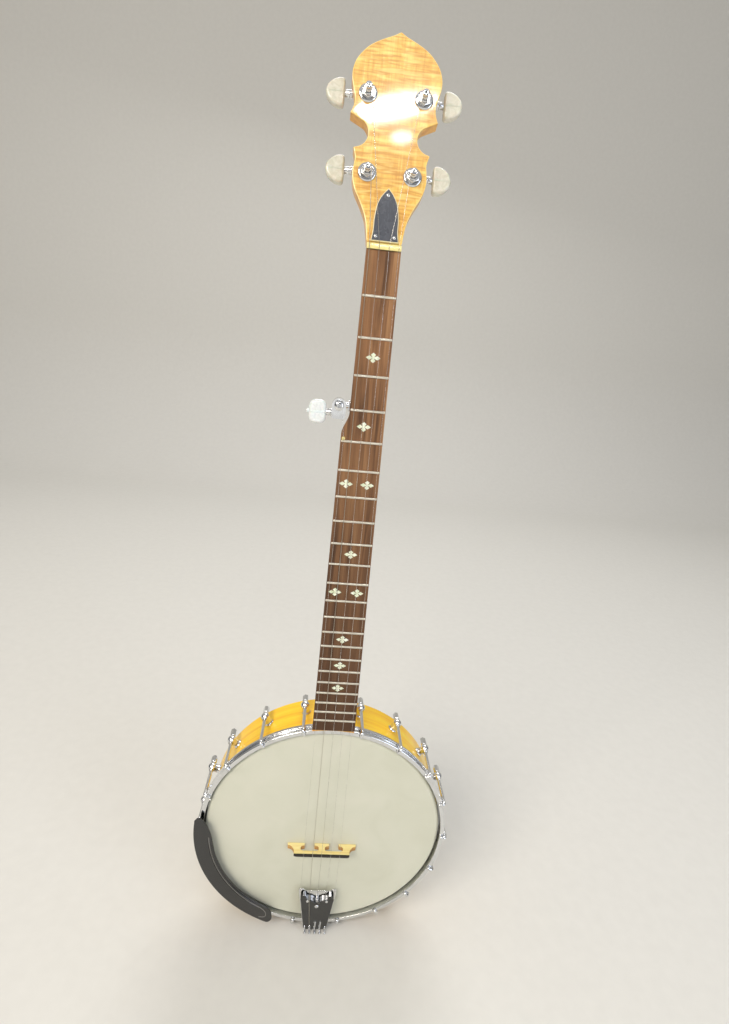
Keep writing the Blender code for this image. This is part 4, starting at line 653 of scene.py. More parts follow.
def makePot():
    wall = {"outer": rim["radius"], "inner": rim["radius"] - rim["wall"], "front": rim["front"],
            "back": rim["back"]}
    makePiece("potRim", band(wall, [0.4, rim["edge"], rim["edge"], 0.8], 5), rimMaple, replaces="rim")

    ringMiddle = head["sink"] + head["skin"] + head["bend"]
    ring = [(head["ringRadius"] + head["ringWire"] * math.cos(a), ringMiddle + head["ringWire"] * math.sin(a))
            for a in spread(0, math.tau, 16)[:-1]]
    makePiece("toneRing", spun(ring, rim["steps"], closed=True), brass, replaces="tone_ring")

    skins = []
    for depth, bend in ((head["sink"], head["bend"] + head["skin"]),
                        (head["sink"] + head["skin"], head["bend"])):
        line = [(radius, depth) for radius in (0.0, 40.0, 80.0, 120.0)]
        line += [(head["ringRadius"] + bend * math.sin(a), ringMiddle - bend * math.cos(a))
                 for a in spread(0, math.pi / 2, 8)]
        skins.append(line + [(line[-1][0], head["collar"])])
    makePiece("drumHead", spun(skins[0] + skins[1][::-1], rim["steps"]), frostedHead, replaces="head")
    makePiece("fleshHoop", band(flesh, 0.8, 4), steel, replaces="flesh_hoop")

    outer, inner = hoop["outer"], hoop["outer"] - hoop["wall"]
    # the wall stands back between a bead at the front and a foot at the back
    waist = outer - hoop["waist"]
    wall = [(outer - 0.6, 0.0), (outer, 0.8), (outer, 2.0), (waist, 3.2), (waist, hoop["height"] - 2.5),
            (outer, hoop["height"] - 2.1), (outer, hoop["height"]), (inner, hoop["height"]), (inner, 0.0)]
    ring = makePiece("tensionHoop", spun(roundOff(wall, 0.5, 3), hoop["steps"], closed=True), chrome,
                     replaces="tension_hoop")
    half, floor = hoop["notch"] / 2, hoop["notchFloor"]
    outline = roundOff([(-half, -4.0), (half, -4.0), (half, floor), (-half, floor)], [0, 0, 0.5, 0.5], 3)
    notches = []
    for angle in bracketAngles:
        notch = slab(outline, inner - 3, outer + 3)
        # the outline was drawn as x and depth: turn it to lie across the hoop
        bmesh.ops.rotate(notch, matrix=Matrix.Rotation(math.pi / 2, 3, "X"), verts=notch.verts)
        bmesh.ops.scale(notch, vec=(1, -1, 1), verts=notch.verts)
        notches.append(moved(notch, roundAt(angle)))
    cutWith(ring, notches)


def makeBrackets():
    z, depth, wireRadius = bracket["circle"], bracket["shoeDepth"], bracket["wire"]
    front, turn, claw = -bracket["clawRise"], bracket["hookTurn"], bracket["claw"]
    bend = [(0, front + turn - turn * math.sin(a), z - turn + turn * math.cos(a))
            for a in spread(0, math.pi / 2, 8)]
    clawEnd = z - wireRadius - bracket["clawReach"]
    model = wire([(0, depth, z), (0, front + 6, z), *bend, (0, front, clawEnd + 2.2)], wireRadius, 16)

    tip = bmesh.new()
    bmesh.ops.create_uvsphere(tip, u_segments=20, v_segments=12, radius=claw)
    put(model, tip, at(0, front + 0.3, clawEnd + claw))
    # ball-like shoe with a collar at each end and a flared foot on the rim
    half = bracket["shoeLength"] / 2
    ball = [(0, -half), (2.9, -half), (3.1, -half + 0.5), (2.9, -half + 1.2)]
    ball += [(bracket["shoeRadius"] * math.sin(a), -(half - 1.6) * math.cos(a))
             for a in (math.radians(degrees) for degrees in spread(38, 142, 10))]
    ball += [(2.9, half - 1.2), (3.1, half - 0.5), (2.9, half), (0, half)]
    put(model, spun(ball, 24), at(0, depth, z))
    gap = rim["radius"] + seatGap
    foot = [(0, gap), (5.4, gap), (5.5, gap + 0.7), (4.9, gap + 1.4), (4.5, gap + 2.8), (4.5, gap + 5.4),
            (4.7, z - 2), (0, z - 1)]
    stand = at(0, depth, 0) @ Matrix.Rotation(math.pi / 2, 4, "X")
    put(model, spun(foot, 24), stand)
    inner = bracket["boltInner"]
    bolt = [(0, inner - 2.4), (2.4, inner - 2.4), (3.7, inner - 1.6), (4.0, inner - 0.5), (4.0, inner),
            (1.9, inner), (1.9, gap + 1), (0, gap + 1)]
    put(model, spun(bolt, 20), stand)
    # hexagon nut with a washer face, and the hook's thread beyond it
    start, end = depth + half - 0.3, bracket["nutEnd"]
    put(model, slab(hexagon(bracket["nutRadius"]), start, end - 1.2, 0.5, 2), at(0, 0, z))
    thread = [(0, start), (1.8, start), (1.8, end - 0.5), (1.3, end), (0, end)]
    put(model, spun(thread, 16), at(0, 0, z))
    for number, angle in enumerate(bracketAngles, 1):
        makePiece(f"bracketHook{number:02d}", moved(model.copy(), roundAt(angle)), chrome,
                  replaces=f"bracket_{number:02d}")
    model.free()


makePot()
makeBrackets()
print("pot and brackets made")


# Neck, fingerboard and headstock

neck = {
    "scale": 667.0,
    "frets": 22,
    "nutHalf": 18.0,
    "heelHalf": 23.7,
    "step": 6.0,                # how much narrower the neck is above the fifth string's pip
    "stepStart": 3.5,           # below the fourth fret
    "stepEnd": 6.0,             # above the fifth fret
    "depthAtNut": 14.5,
    "depthAtHeel": 19.0,
    "heelDepth": 60.0,
    "heelLength": 78.0,
    "heelCurve": ((0.0, 0.0), (0.24, 0.04), (0.40, 0.14), (0.52, 0.32), (0.62, 0.56), (0.71, 0.80),
                  (0.79, 0.95), (1.0, 1.0)),
    "heelPinch": 0.75,
    "intoHeadstock": 16.0,
    "arcPoints": 40,
    "nutSpacing": 8.5,
    "nutHeight": 5.5,
    "dots": (7, 10, 12, 15, 17),
    "petals": {3: (3.0,), 5: (0.6,), 7: (-11.1, 9.3), 10: (0.0,), 12: (-12.4, 10.3), 15: (0.0,), 17: (0.0,),
               19: (0.0,)},
}
headstock = {
    "thickness": 11.5,
    "overlay": 1.5,
    "chamfer": 0.8,
    "half": ((8.0, -8.0), (12.6, -4.5), (15.1, 0.5), (16.2, 8.0), (17.9, 18.0), (20.7, 26.0), (24.6, 34.0),
             (28.4, 41.0), (31.0, 48.0), (32.1, 55.0), (31.6, 62.5), (30.9, 69.0), (32.9, 76.8)),
    "crown": ((37.6, 104.9), (35.2, 111.5), (34.9, 118.0), (36.6, 125.5), (38.4, 133.5), (38.1, 141.5),
              (34.6, 150.5), (26.4, 160.0), (16.6, 166.2), (5.6, 171.2), (0.0, 174.5)),
    "notch": (33.3, 89.5),
    "notchRadius": 12.1,
    "hole": 4.1,
}
cover = {
    "half": ((12.2, 0.6), (11.0, 9.5), (10.8, 18.0), (9.9, 26.5), (8.3, 33.4), (4.8, 40.0), (0.0, 45.5)),
    "thickness": 2.0,
    "edge": 0.7,
    "screws": ((0.0, 39.5), (-8.1, 4.8), (8.1, 4.8)),
}
posts = {"upper": (24.0, 121.9), "lower": (19.6, 57.5)}
neckX = stockPlace.x
nutZ = boardHigh.z
boardLength = boardHigh.z - boardLow.z
boardFace = nutHigh.y - neck["nutHeight"]


def fretPlace(number):
    return neck["scale"] * (1 - 2 ** (-number / 12))


def betweenFrets(number):
    return (fretPlace(number) + fretPlace(number - 1)) / 2


# where the neck widens for the fifth string
stepStart, stepEnd = fretPlace(4) + neck["stepStart"], fretPlace(5) - neck["stepEnd"]
stepDistances = spread(stepStart, stepEnd, 16)


def halfWidth(distance):
    share = max(0.0, min(distance / boardLength, 1.0))
    return neck["nutHalf"] + (neck["heelHalf"] - neck["nutHalf"]) * share


def leftEdge(distance):
    share = max(0.0, min((distance - stepStart) / (stepEnd - stepStart), 1.0))
    return -halfWidth(distance) + neck["step"] * (1 - share * share * (3 - 2 * share))


def headstockOutline():
    half = smoothLine(headstock["half"], 5)
    x, z = headstock["notch"]
    radius = headstock["notchRadius"]
    half += [Vector((x + radius * math.cos(a), z + radius * math.sin(a)))
             for a in (math.radians(degrees) for degrees in spread(-102, -232, 28))]
    half += smoothLine(headstock["crown"][:-1], 5) + [Vector(headstock["crown"][-1])]
    return mirrored(half)


def tuners():
    for row, (x, z) in posts.items():
        for word, side in (("left", -1), ("right", 1)):
            yield f"{row}_{word}", side, (side * x, z)


def neckShape():
    heelStart = boardLength - neck["heelLength"]
    reach = nutZ - (rim["radius"] - rim["wall"] / 2) - heelStart
    curve = smoothLine(neck["heelCurve"], 4)
    places = [(-5.4 - neck["intoHeadstock"], 0.4), (-5.4 - neck["intoHeadstock"] / 2, 0.45), (-5.4, 0.5),
              (0.0, 0.6), (fretPlace(1) / 3, 0.75), (fretPlace(1) * 0.66, 0.9), (fretPlace(1), 1.0)]
    places += [(d, 1.0) for d in (*stepDistances, fretPlace(7), fretPlace(9), fretPlace(12))]
    rows = []
    for distance, pinch in places:
        share = max(0.0, distance / heelStart)
        rows.append((distance, neck["depthAtNut"] + (neck["depthAtHeel"] - neck["depthAtNut"]) * share,
                     pinch))
    for along, rise in curve:
        depth = neck["depthAtHeel"] + (neck["heelDepth"] - neck["depthAtHeel"]) * rise
        rows.append((heelStart + reach * along, depth, 1 + neck["heelPinch"] * rise))
    bm = bmesh.new()
    loops = []
    front = neckFront - seatGap
    for distance, depth, pinch in rows:
        left, right = leftEdge(distance), halfWidth(distance)
        middle, half = (left + right) / 2, (right - left) / 2
        ring = []
        for angle in spread(0, math.pi, neck["arcPoints"]):
            across = math.copysign(abs(math.cos(angle)) ** pinch, math.cos(angle))
            ring.append(bm.verts.new((middle + half * across, front + (depth + seatGap) * math.sin(angle),
                                      nutZ - distance)))
        loops.append([bm.edges.new((a, b)) for a, b in zip(ring, ring[1:] + ring[:1])])
    for above, below in zip(loops, loops[1:]):
        bmesh.ops.bridge_loops(bm, edges=above + below)
    bmesh.ops.holes_fill(bm, edges=[e for e in bm.edges if e.is_boundary], sides=0)
    bmesh.ops.recalc_face_normals(bm, faces=bm.faces)
    return bm


def inPot(bm):
    # moves a shape from the headstock's frame to the pot's
    return moved(bm, toPot @ stockFrame)


def tunerHoles():
    return [inPot(moved(barrel(headstock["hole"], -8, 18, 32), at(x, 0, z))) for _, _, (x, z) in tuners()]


def block(low, high):
    bm = bmesh.new()
    bmesh.ops.create_cube(bm, size=1.0)
    bmesh.ops.scale(bm, vec=Vector(high) - Vector(low), verts=bm.verts)
    bmesh.ops.translate(bm, vec=(Vector(low) + Vector(high)) / 2, verts=bm.verts)
    return bm


def makeNeck():
    shaft = makePiece("neckShaft", neckShape(), neckMaple, replaces="neck")
    stock = inPot(slab(headstockOutline(), -seatGap, headstock["thickness"], 1.6, 4, "back"))
    cutWith(shaft, [stock], "UNION")
    face = block((-40, neckFront - 40, 0), (40, neckFront, nutHigh.z + seatGap))
    slope = inPot(block((-80, -40, 0), (80, 0, 220)))
    pot = barrel(rim["radius"] + seatGap, -40, 120, rim["steps"])
    ring = barrel(hoop["outer"] + seatGap, -40, flesh["back"] + seatGap, rim["steps"])
    cutWith(shaft, [face, slope, pot, ring, *tunerHoles()])

    front = -(seatGap + headstock["overlay"])
    outline = [p for p in headstockOutline() if p[1] > seatGap]
    veneer = slab(outline, front, -seatGap, headstock["chamfer"], 2, "front")
    for face in veneer.faces:
        # the chamfer shows the bare edge of the veneer
        face.material_index = int(-0.97 < face.normal.y < -0.1)
    top = makePiece("headstockVeneer", inPot(veneer), [flamedMaple, edgeMaple], replaces="headstock_overlay")
    cutWith(top, tunerHoles())


def makeFingerboard():
    edge = [(leftEdge(d), nutZ - d) for d in (0.0, *stepDistances, boardLength)]
    edge += [(halfWidth(boardLength), boardLow.z), (halfWidth(0), nutZ)]
    makePiece("fingerboardWood", slab(edge, boardFace, boardHigh.y, 0.35, 2, "front"), rosewood,
              replaces="fingerboard")
    wires = bmesh.new()
    crown = [(1.15 * math.cos(a), 1.1 * math.sin(a)) for a in spread(0, math.pi, 8)]
    crown += [(-1.0, -0.5), (1.0, -0.5)]
    for number in range(1, neck["frets"] + 1):
        distance = fretPlace(number)
        bead = slab(crown, leftEdge(distance) + 0.5, halfWidth(distance) - 0.5, 0.45, 2)
        # the crown was drawn across x and z: turn it so that it runs across the board
        spot = Matrix(((0, 1, 0, 0), (0, 0, -1, boardFace), (1, 0, 0, nutZ - distance), (0, 0, 0, 1)))
        put(wires, bead, spot)
    bmesh.ops.recalc_face_normals(wires, faces=wires.faces)
    makePiece("fretWires", wires, nickel)
    quarter = [(0, 4.5), (2.35, 2.75), (0.95, 0.75), (1.15, 0.55), (3.7, 1.95), (6.7, 0)]
    right = quarter + [(a, -b) for a, b in reversed(quarter[:-1])]
    petal = mirrored(right)
    petals = bmesh.new()
    for number, across in neck["petals"].items():
        for x in across:
            put(petals, slab(petal, boardFace - 0.06, boardFace + 0.4), at(x, 0, nutZ - betweenFrets(number)))
    makePiece("petalInlays", petals, petalShell, flat=False)
    # small side dots by the fifth string for the player's eye
    dots = bmesh.new()
    for number in neck["dots"]:
        distance = betweenFrets(number)
        put(dots, barrel(0.9, -0.12, 0.4, 16),
            at(leftEdge(distance), (boardFace + boardHigh.y) / 2, nutZ - distance) @ acrossX)
    makePiece("sideDots", dots, creamEdge)


def makeNut():
    top = nutLow.y
    back = [(top, nutLow.z), (top, nutLow.z + 1.6), (top + 1.4, nutHigh.z), (nutHigh.y, nutHigh.z),
            (nutHigh.y, nutLow.z)]
    bar = stood(slab(roundOff(back, [0.3, 1.2, 1.2, 0, 0], 4), nutLow.x, nutHigh.x, 0.35, 2))
    nut = makePiece("boneNut", bar, bone, replaces="string_nut")
    slots = []
    for number in range(4):
        x = neckX + (number - 1.5) * neck["nutSpacing"]
        slots.append(block((x - 0.35, top - 2, nutLow.z - 2), (x + 0.35, top + 0.7, nutHigh.z + 2)))
    cutWith(nut, slots)
    low, high = boxOf("fifth_string_pip")
    x, z = (low.x + high.x) / 2, (low.z + high.z) / 2
    peg = [(0, low.y), (1.1, low.y), (1.4, low.y + 0.3), (1.7, high.y), (0, high.y)]
    pip = makePiece("fifthPip", spun(peg, 24), bone, replaces="fifth_string_pip",
                    frameOf=potFrame @ at(x, 0, z))
    cutWith(pip, [block((x - 0.2, low.y - 1, z - 3), (x + 0.2, low.y + 0.5, z + 3))])


def makeCover():
    back = -(2 * seatGap + headstock["overlay"])
    front = back - cover["thickness"]
    # straight foot, waisted sides and a pointed top, like a bell
    outline = mirrored([Vector((11.4, 0.6)), *smoothLine(cover["half"], 5)])
    plate = slab(outline, front, back, cover["edge"], 2, "front")
    for face in plate.faces:
        face.material_index = int(face.normal.y > -0.97)
    holes = bmesh.new()
    dome = [(0, front - 0.5), (0.8, front - 0.42), (1.3, front - 0.2), (1.6, front + 0.1), (1.6, front + 0.8),
            (0, front + 0.8)]
    for x, z in cover["screws"]:
        put(holes, spun(dome, 20), at(x, 0, z))
    makePiece("rodCover", inPot(plate), [coverBlackPaintedSheen, creamEdge], replaces="truss_rod_cover")
    heads = makePiece("coverScrews", inPot(holes), chrome)
    crosses = []
    for x, z in cover["screws"]:
        for turn in (0.5, 0.5 + math.pi / 2):
            bar = block((-1.0, front - 1, -0.17), (1.0, front - 0.1, 0.17))
            crosses.append(inPot(moved(bar, at(x, 0, z) @ roundAt(turn))))
    cutWith(heads, crosses)
    for slot in nodes["truss_rod"].material_slots:
        slot.material = steel


nodes = frame["nodes"]
makeNeck()
makeFingerboard()
makeNut()
makeCover()
print("neck and headstock made")


# Tuners, each in a frame on its post's axis: x to the side, y behind the mounting face

tuner = {
    "teeth": 14,
    "module": 0.65,
    "wormRadius": 3.2,
    "threadTip": 3.6,
    "threadTurns": 4,
    "post": 3.0,
    "waist": 2.4,
    "rise": 24.3,               # post's end in front of the mounting face
    "band": (22.5, 19.7),       # where the string winds
    "wall": 1.1,
    "tube": 3.6,
    "tubeEnd": 15.2,
    "collar": 3.7,
    "button": (28.0, 16.8, 24.0, 7.6),          # centre, width, height, thickness
    "buttonFlat": ((0.0, 0.0), (0.0, 5.5), (0.15, 9.4), (1.1, 11.2), (3.1, 12.0)),
    "buttonCurve": ((0.45, 0.93), (0.72, 0.72), (0.92, 0.40), (1.0, 0.0)),
    "washer": (8.0, 1.2),
    "hexagon": (5.9, 3.92),
    "ring": (2.6, 1.2, 0.45),                   # its two ends before the tube's end, and its rise
    "bore": 2.36,
    "postBore": 3.19,
    "windingTurns": 3.4,
}
fifth = {
    "lid": 1.2,
    "tubeEnd": 7.8,
    "button": (19.8, 16.7, 22.5, 7.6),
    "buttonCurve": ((0.0, 0.0), (0.0, 0.45), (0.05, 0.75), (0.22, 0.97), (0.5, 1.0), (0.78, 0.92),
                    (0.94, 0.68), (1.0, 0.3), (1.0, 0.0)),
    "rise": 8.6,
    "band": (5.4, 2.4),
    "cap": (4.4, 2.2),
    "stub": 8.0,
}
gearRadius = tuner["module"] * tuner["teeth"] / 2
wormOffset = gearRadius + tuner["wormRadius"]
gearDepth = tuner["threadTip"] + 2 * seatGap
housingDepth = gearDepth + tuner["threadTip"] + seatGap + tuner["wall"]
gearRoom = (gearRadius + 0.4 + seatGap) / math.cos(math.pi / 12)
stringRadii = {"1": 0.13, "2": 0.16, "3": 0.21, "4": 0.29, "5": 0.13}
def rodAlong(start, end, radius, sides=24, edge=0.3, endRadius=None):
    # a turned rod along X, or a cone, with rounded ends
    low, high = min(start, end), max(start, end)
    first, last = (radius, endRadius or radius) if start < end else (endRadius or radius, radius)
    line = roundOff([(0, low), (first, low), (last, high), (0, high)], [0, edge, edge, 0], 3)
    return moved(spun(line, sides), acrossX)


def roomOutline(wormSide, grow):
    # round about the gear, with two rounded corners beyond the worm
    half, top = gearRoom + grow, wormSide * (wormOffset + tuner["threadTip"] + seatGap + grow)
    line = [(half * math.cos(a), -wormSide * half * math.sin(a)) for a in spread(0, math.pi, 20)]
    corner = 0.5 + grow * 2
    quarter = [(corner * math.cos(a), corner * math.sin(a)) for a in spread(0, math.pi / 2, 6)]
    line += [(-half + corner - across, top - wormSide * (corner - along)) for across, along in quarter]
    line += [(half - corner + along, top - wormSide * (corner - across)) for across, along in quarter]
    return line


def buttonOutline(side, size, flatPart, curve):
    # flatPart is in millimetres from the flat side, curve in shares of the width and half the height
    centre, width, height, _ = size
    flat = centre - width / 2
    arc = [(flat + x, z) for x, z in flatPart] + [(flat + width * a, height / 2 * b) for a, b in curve]
    line = smoothLine(arc, 5)
    return [(side * x, z) for x, z in line + [(x, -z) for x, z in reversed(line[1:-1])]]


def makeHousing(name, node, spot, side, wormSide, tubeEnd, lid=0.0, extra=()):
    toWorm = at(0, gearDepth, wormSide * wormOffset)
    shell = slab(roomOutline(wormSide, tuner["wall"]), seatGap - lid, housingDepth - 0.25, 1.5, 4, "back")
    stem = rodAlong(side * (gearRoom + 0.5), side * tubeEnd, tuner["tube"], 32, 0.5)
    # round cap over the gear, with its screw
    cap = [(radius, housingDepth - down) for radius, down in
           ((0, 0.6), (0, 0.05), (1.5, 0.05), (1.8, 0.2), (3.6, 0.12), (3.9, 0.35), (3.9, 0.6))]
    grown = [moved(stem, toWorm), spun(cap, 32), *extra]
    near, far, rise = tuner["ring"]
    if tubeEnd - near > gearRoom + tuner["wall"]:
        # a short tube has no room for the ring
        ring = rodAlong(side * (tubeEnd - near), side * (tubeEnd - far), tuner["tube"] + rise, 32, 0.4)
        grown.append(moved(ring, toWorm))
    piece = makePiece(name, shell, chrome, replaces=node, frameOf=spot)
    room = slab(roomOutline(wormSide, 0), seatGap if lid else -3, housingDepth - tuner["wall"])
    bore = moved(rodAlong(-side * (gearRoom + 5), side * (tubeEnd + 3), tuner["bore"], 24, 0), toWorm)
    tools = [room, bore, block((-1.3, housingDepth - 0.35, -0.2), (1.3, housingDepth + 1, 0.2))]
    if lid:
        tools.append(barrel(tuner["postBore"], -5, gearDepth, 24))
    for shape in grown + tools:
        moved(shape, toPot @ spot)
    # one clean solid first: overlapping shells are cut differently from run to run
    cutWith(piece, grown, "UNION")
    cutWith(piece, tools)


def makeButton(name, node, body, spot, side, wormSide, outline, tubeEnd, size, shell, extra=()):
    centre, width, height, thick = size
    toWorm = at(0, gearDepth, wormSide * wormOffset)
    pad = slab(outline, -thick / 2, thick / 2, 3.3, 8)
    for way in (-1, 1):
        # moulded ridge over the shaft on each face
        ridge = rodAlong(side * (centre - width * 0.44), side * (centre + width * 0.38), 2.0, 24, 1.4)
        put(pad, ridge, at(0, way * (thick / 2 - 1.75), 0))
    for shape in extra:
        put(pad, shape)
    makePiece(f"{name}Button", moved(pad, toWorm), shell, body=body, replaces=node, frameOf=spot)
    metal = rodAlong(-side * (gearRoom + tuner["wall"]), side * (tubeEnd + 6), 2.2, 24, 0.4)
    put(metal, rodAlong(side * (tubeEnd + seatGap), side * (tubeEnd + 4.2), tuner["collar"], 32, 0.5, 2.8))
    pitch = math.pi * tuner["module"]
    half = pitch * tuner["threadTurns"] / 2
    put(metal, rodAlong(-half - 0.6, half + 0.6, 2.6, 24, 0.3))
    thread = bmesh.new()
    start = -half + pitch / 2
    face = thread.faces.new([thread.verts.new((start + x, 0, -wormSide * r))
                             for x, r in ((-0.9, 2.45), (-0.09, 3.6), (0.09, 3.6), (0.9, 2.45))])
    turns = tuner["threadTurns"] - 1
    bmesh.ops.spin(thread, geom=[face], cent=(0, 0, 0), axis=(1, 0, 0), dvec=(pitch / 20, 0, 0),
                   angle=math.tau * turns, steps=20 * turns, use_duplicate=False)
    bmesh.ops.recalc_face_normals(thread, faces=thread.faces)
    put(metal, thread)
    makePiece(f"{name}Shaft", moved(metal, toWorm), chrome, body=body, frameOf=spot)


def makePost(name, node, body, spot, side, rise, band, string, cap=None):
    wide, waist = tuner["post"], tuner["waist"]
    high, low = band
    if cap:
        radius, height = cap
        top = [(0, 0.5), (1.0, 0.4), (1.3, 0), (2.7, 0), (3.7, 0.5), (radius, 1.1)]
        # the cap's underside
        under = [(radius, -rise + height - 0.2), (radius - 0.3, -rise + height), (wide, -rise + height)]
    else:
        top = [(0, 0.35), (1.2, 0.3), (1.6, 0), (wide - 0.6, 0), (wide - 0.15, 0.25), (wide, 0.7)]
        under = []
    middle = (high + low) / 2
    line = [(radius, -rise + down) for radius, down in top] + under
    line += [(wide, -high - 0.2), (wide - 0.2, -high + 0.15), (waist, -middle - 0.75),
             (waist, -middle + 0.75),
             (wide - 0.2, -low - 0.15), (wide, -low + 0.2), (wide, gearDepth + 2.2), (0, gearDepth + 2.2)]
    post = spun(line, 40)
    half = math.pi / tuner["teeth"]
    tip, root = gearRadius + 0.4, gearRadius - 0.55
    outline = []
    for tooth in range(tuner["teeth"]):
        for radius, angle in ((root, -0.189), (tip, -0.018), (tip, 0.018), (root, 0.189)):
            a = tooth * 2 * half + angle
            outline.append((radius * math.sin(a), radius * math.cos(a)))
    gear = moved(slab(outline, gearDepth - 1.2, gearDepth + 1.2), toPot @ spot)
    piece = makePiece(f"{name}Post", post, chrome, body=body, replaces=node, frameOf=spot)
    cutWith(piece, [gear], "UNION")
    cutWith(piece, [moved(barrel(0.55, -6, 6, 16), toPot @ spot @ at(0, -middle - 0.5, 0))])
    # the string's turns round the waist, from where it arrives, ending in the hole
    thick = stringRadii[string]
    coil = []
    for step in range(int(tuner["windingTurns"] * 24) + 1):
        a = math.tau * step / 24
        # the first quarter turn leads in from the string's own line
        ease = min(1.0, step / 6)
        reach = waist + thick + 0.02 + (1 - ease) * 0.28
        coil.append((-side * reach * math.cos(a), -high + 1.0 + a / math.tau * thick * 2.15,
                     reach * math.sin(a)))
    coil.append((0.2, -middle - 0.5, 0.2))
    makePiece(f"{name}Winding", wire(coil, thick, 8), stringSteel, body=body, frameOf=spot, flat=False)


def makeBushing(name, node, spot):
    face = -(headstock["thickness"] + headstock["overlay"] + 2 * seatGap)
    radius, thick = tuner["washer"]
    wide, rise = tuner["hexagon"]
    # dished washer, hexagon with turned corners, and the sleeve's rim
    ring = [(0, face), (radius - 0.2, face), (radius, face - 0.25), (radius - 0.5, face - 0.85),
            (radius - 1.1, face - thick), (0, face - thick)]
    bush = spun(ring, 48)
    nut = slab(hexagon(wide), face - rise, face - thick + 0.1, 0.55, 3, "front")
    sleeve = spun([(0, face - rise - 0.65), (3.8, face - rise - 0.65), (4.05, face - rise - 0.3),
                   (4.05, -1.2), (0, -1.2)], 40)
    bore = barrel(tuner["postBore"], -40, 5, 40)
    for shape in (nut, sleeve, bore):
        moved(shape, toPot @ spot)
    piece = makePiece(name, bush, chrome, replaces=node, frameOf=spot)
    cutWith(piece, [nut, sleeve], "UNION")
    cutWith(piece, [bore])


def makeTuners():
    strings = {"lower_right": "1", "upper_right": "2", "upper_left": "3", "lower_left": "4"}
    for name, side, (x, z) in tuners():
        spot = stockFrame @ at(x, headstock["thickness"], z)
        row, word = name.split("_")
        own = row + word.capitalize()
        makeHousing(f"{own}Housing", f"tuner_housing_{name}", spot, side, 1, tuner["tubeEnd"])
        makeBushing(f"{own}Bushing", f"tuner_bushing_{name}", spot)
        outline = buttonOutline(side, tuner["button"], tuner["buttonFlat"], tuner["buttonCurve"])
        makeButton(own, f"tuner_button_{name}", f"button_{name}", spot, side, 1, outline, tuner["tubeEnd"],
                   tuner["button"], pearloid)
        makePost(own, f"tuner_post_{name}", f"post_{name}", spot, side, tuner["rise"], tuner["band"],
                 strings[name])


def makeFifthTuner():
    distance = fretPlace(4) - 2.6
    place = Vector((leftEdge(distance) - 10.4, -2.8, nutZ - distance))
    spot = potFrame @ Matrix.Translation(place)
    edge = leftEdge(distance) - place.x
    stub = moved(rodAlong(gearRoom + 0.5, edge + fifth["stub"], 3.0, 24, 0.4), at(0, gearDepth, 0))
    face = roundOff([(seatGap, -5.2), (housingDepth, -5.2), (housingDepth, 5.2), (seatGap, 5.2)], 1.6, 4)
    # the flange is drawn flat and stood against the neck's side
    flange = stood(slab(face, edge - seatGap - 1.4, edge - seatGap, 0.3, 2))
    makeHousing("fifthHousing", "fifth_tuner_housing", spot, -1, -1, fifth["tubeEnd"], fifth["lid"],
                [stub, flange])
    centre, width, _, _ = fifth["button"]
    outer = -(centre + width / 2)
    nub = rodAlong(outer + 1.8, outer - 1.8, 2.4, 24, 0.8)
    outline = buttonOutline(-1, fifth["button"], (), fifth["buttonCurve"])
    makeButton("fifth", "fifth_tuner_button", "button_fifth", spot, -1, -1, outline, fifth["tubeEnd"],
               fifth["button"], whitePearloid, [nub])
    makePost("fifth", "fifth_tuner_post", "post_fifth", spot, -1, fifth["rise"], fifth["band"], "5",
             fifth["cap"])


makeTuners()
makeFifthTuner()
print("tuners made")


# Coordinator rod, tailpiece, armrest, bridge and strings

rod = {"radius": 4.0, "depth": 45.0, "intoHeel": 11.0, "nutRadius": 7.2, "nutHeight": 5.0, "inner": 126.6}
tail = {
    "length": 68.0,
    "halfNarrow": 14.4,
    "halfWide": 23.4,
    "rise": 4.3,
    "plate": 1.4,
    "overhang": 5.4,
    "strapWidth": 14.0,
    "strap": 1.6,
    "coverRise": 5.3,
    "coverSkin": 1.2,
    "coverStart": 6.4,
    "coverLength": 50.0,
    "screwPlace": 45.4,
    "coverInset": 1.0,
    "pinRise": 7.3,
    "pinSpacing": 6.4,
    "mouthSpacing": 10.7,
    "loops": (4.0, 4.0, 12.5, 12.5, 4.0),
}
armrest = {
    "start": 83.5,
    "end": 156.0,
    "inner": 17.4,
    "outer": 4.9,
    "thickness": 2.4,
    "rise": 4.6,
    "clamps": (100.5, 139.4),
    "clampWidth": 8.0,
}
bridge = {
    "below": 23.0,
    "height": 16.0,
    "footHalf": 41.4,
    "topHalf": 33.5,
    "capHalf": 31.0,
    "footThick": 6.4,
    "topThick": 2.8,
    "cap": 1.8,
    "hollow": 5.2,              # how far the round hollows go in under each foot
    "spacing": 10.8,
}


def makeRod():
    top = rim["radius"] + rod["intoHeel"]
    strapBack = rim["radius"] + seatGap + tail["strap"] + seatGap
    end = strapBack + rod["nutHeight"]
    line = [(0, -top), (rod["radius"], -top), (rod["radius"], end + 2), (0, end + 2)]
    bar = spun(roundOff(line, [0, 0.6, 0.8, 0], 3), 32)
    inner = rod["inner"]
    for low, high in ((-inner, -inner + rod["nutHeight"]), (inner - rod["nutHeight"], inner),
                      (strapBack, end)):
        put(bar, slab(hexagon(rod["nutRadius"]), low, high, 0.7, 3))
        if low < strapBack:
            # a washer between the nut and the rim
            face = low - 0.2 if low < 0 else high - 1.0
            washer = [(4.2, face), (9.5, face), (9.5, face + 1.2), (4.2, face + 1.2)]
            put(bar, spun(roundOff(washer, 0.3, 2), 32, closed=True))
    # seen from the back the rod lies up and down, its lower end towards the tailpiece
    moved(bar, at(0, rod["depth"], 0) @ Matrix.Rotation(-math.pi / 2, 4, "X"))
    makePiece("coordinatorRod", bar, steel, replaces="coordinator_rod")


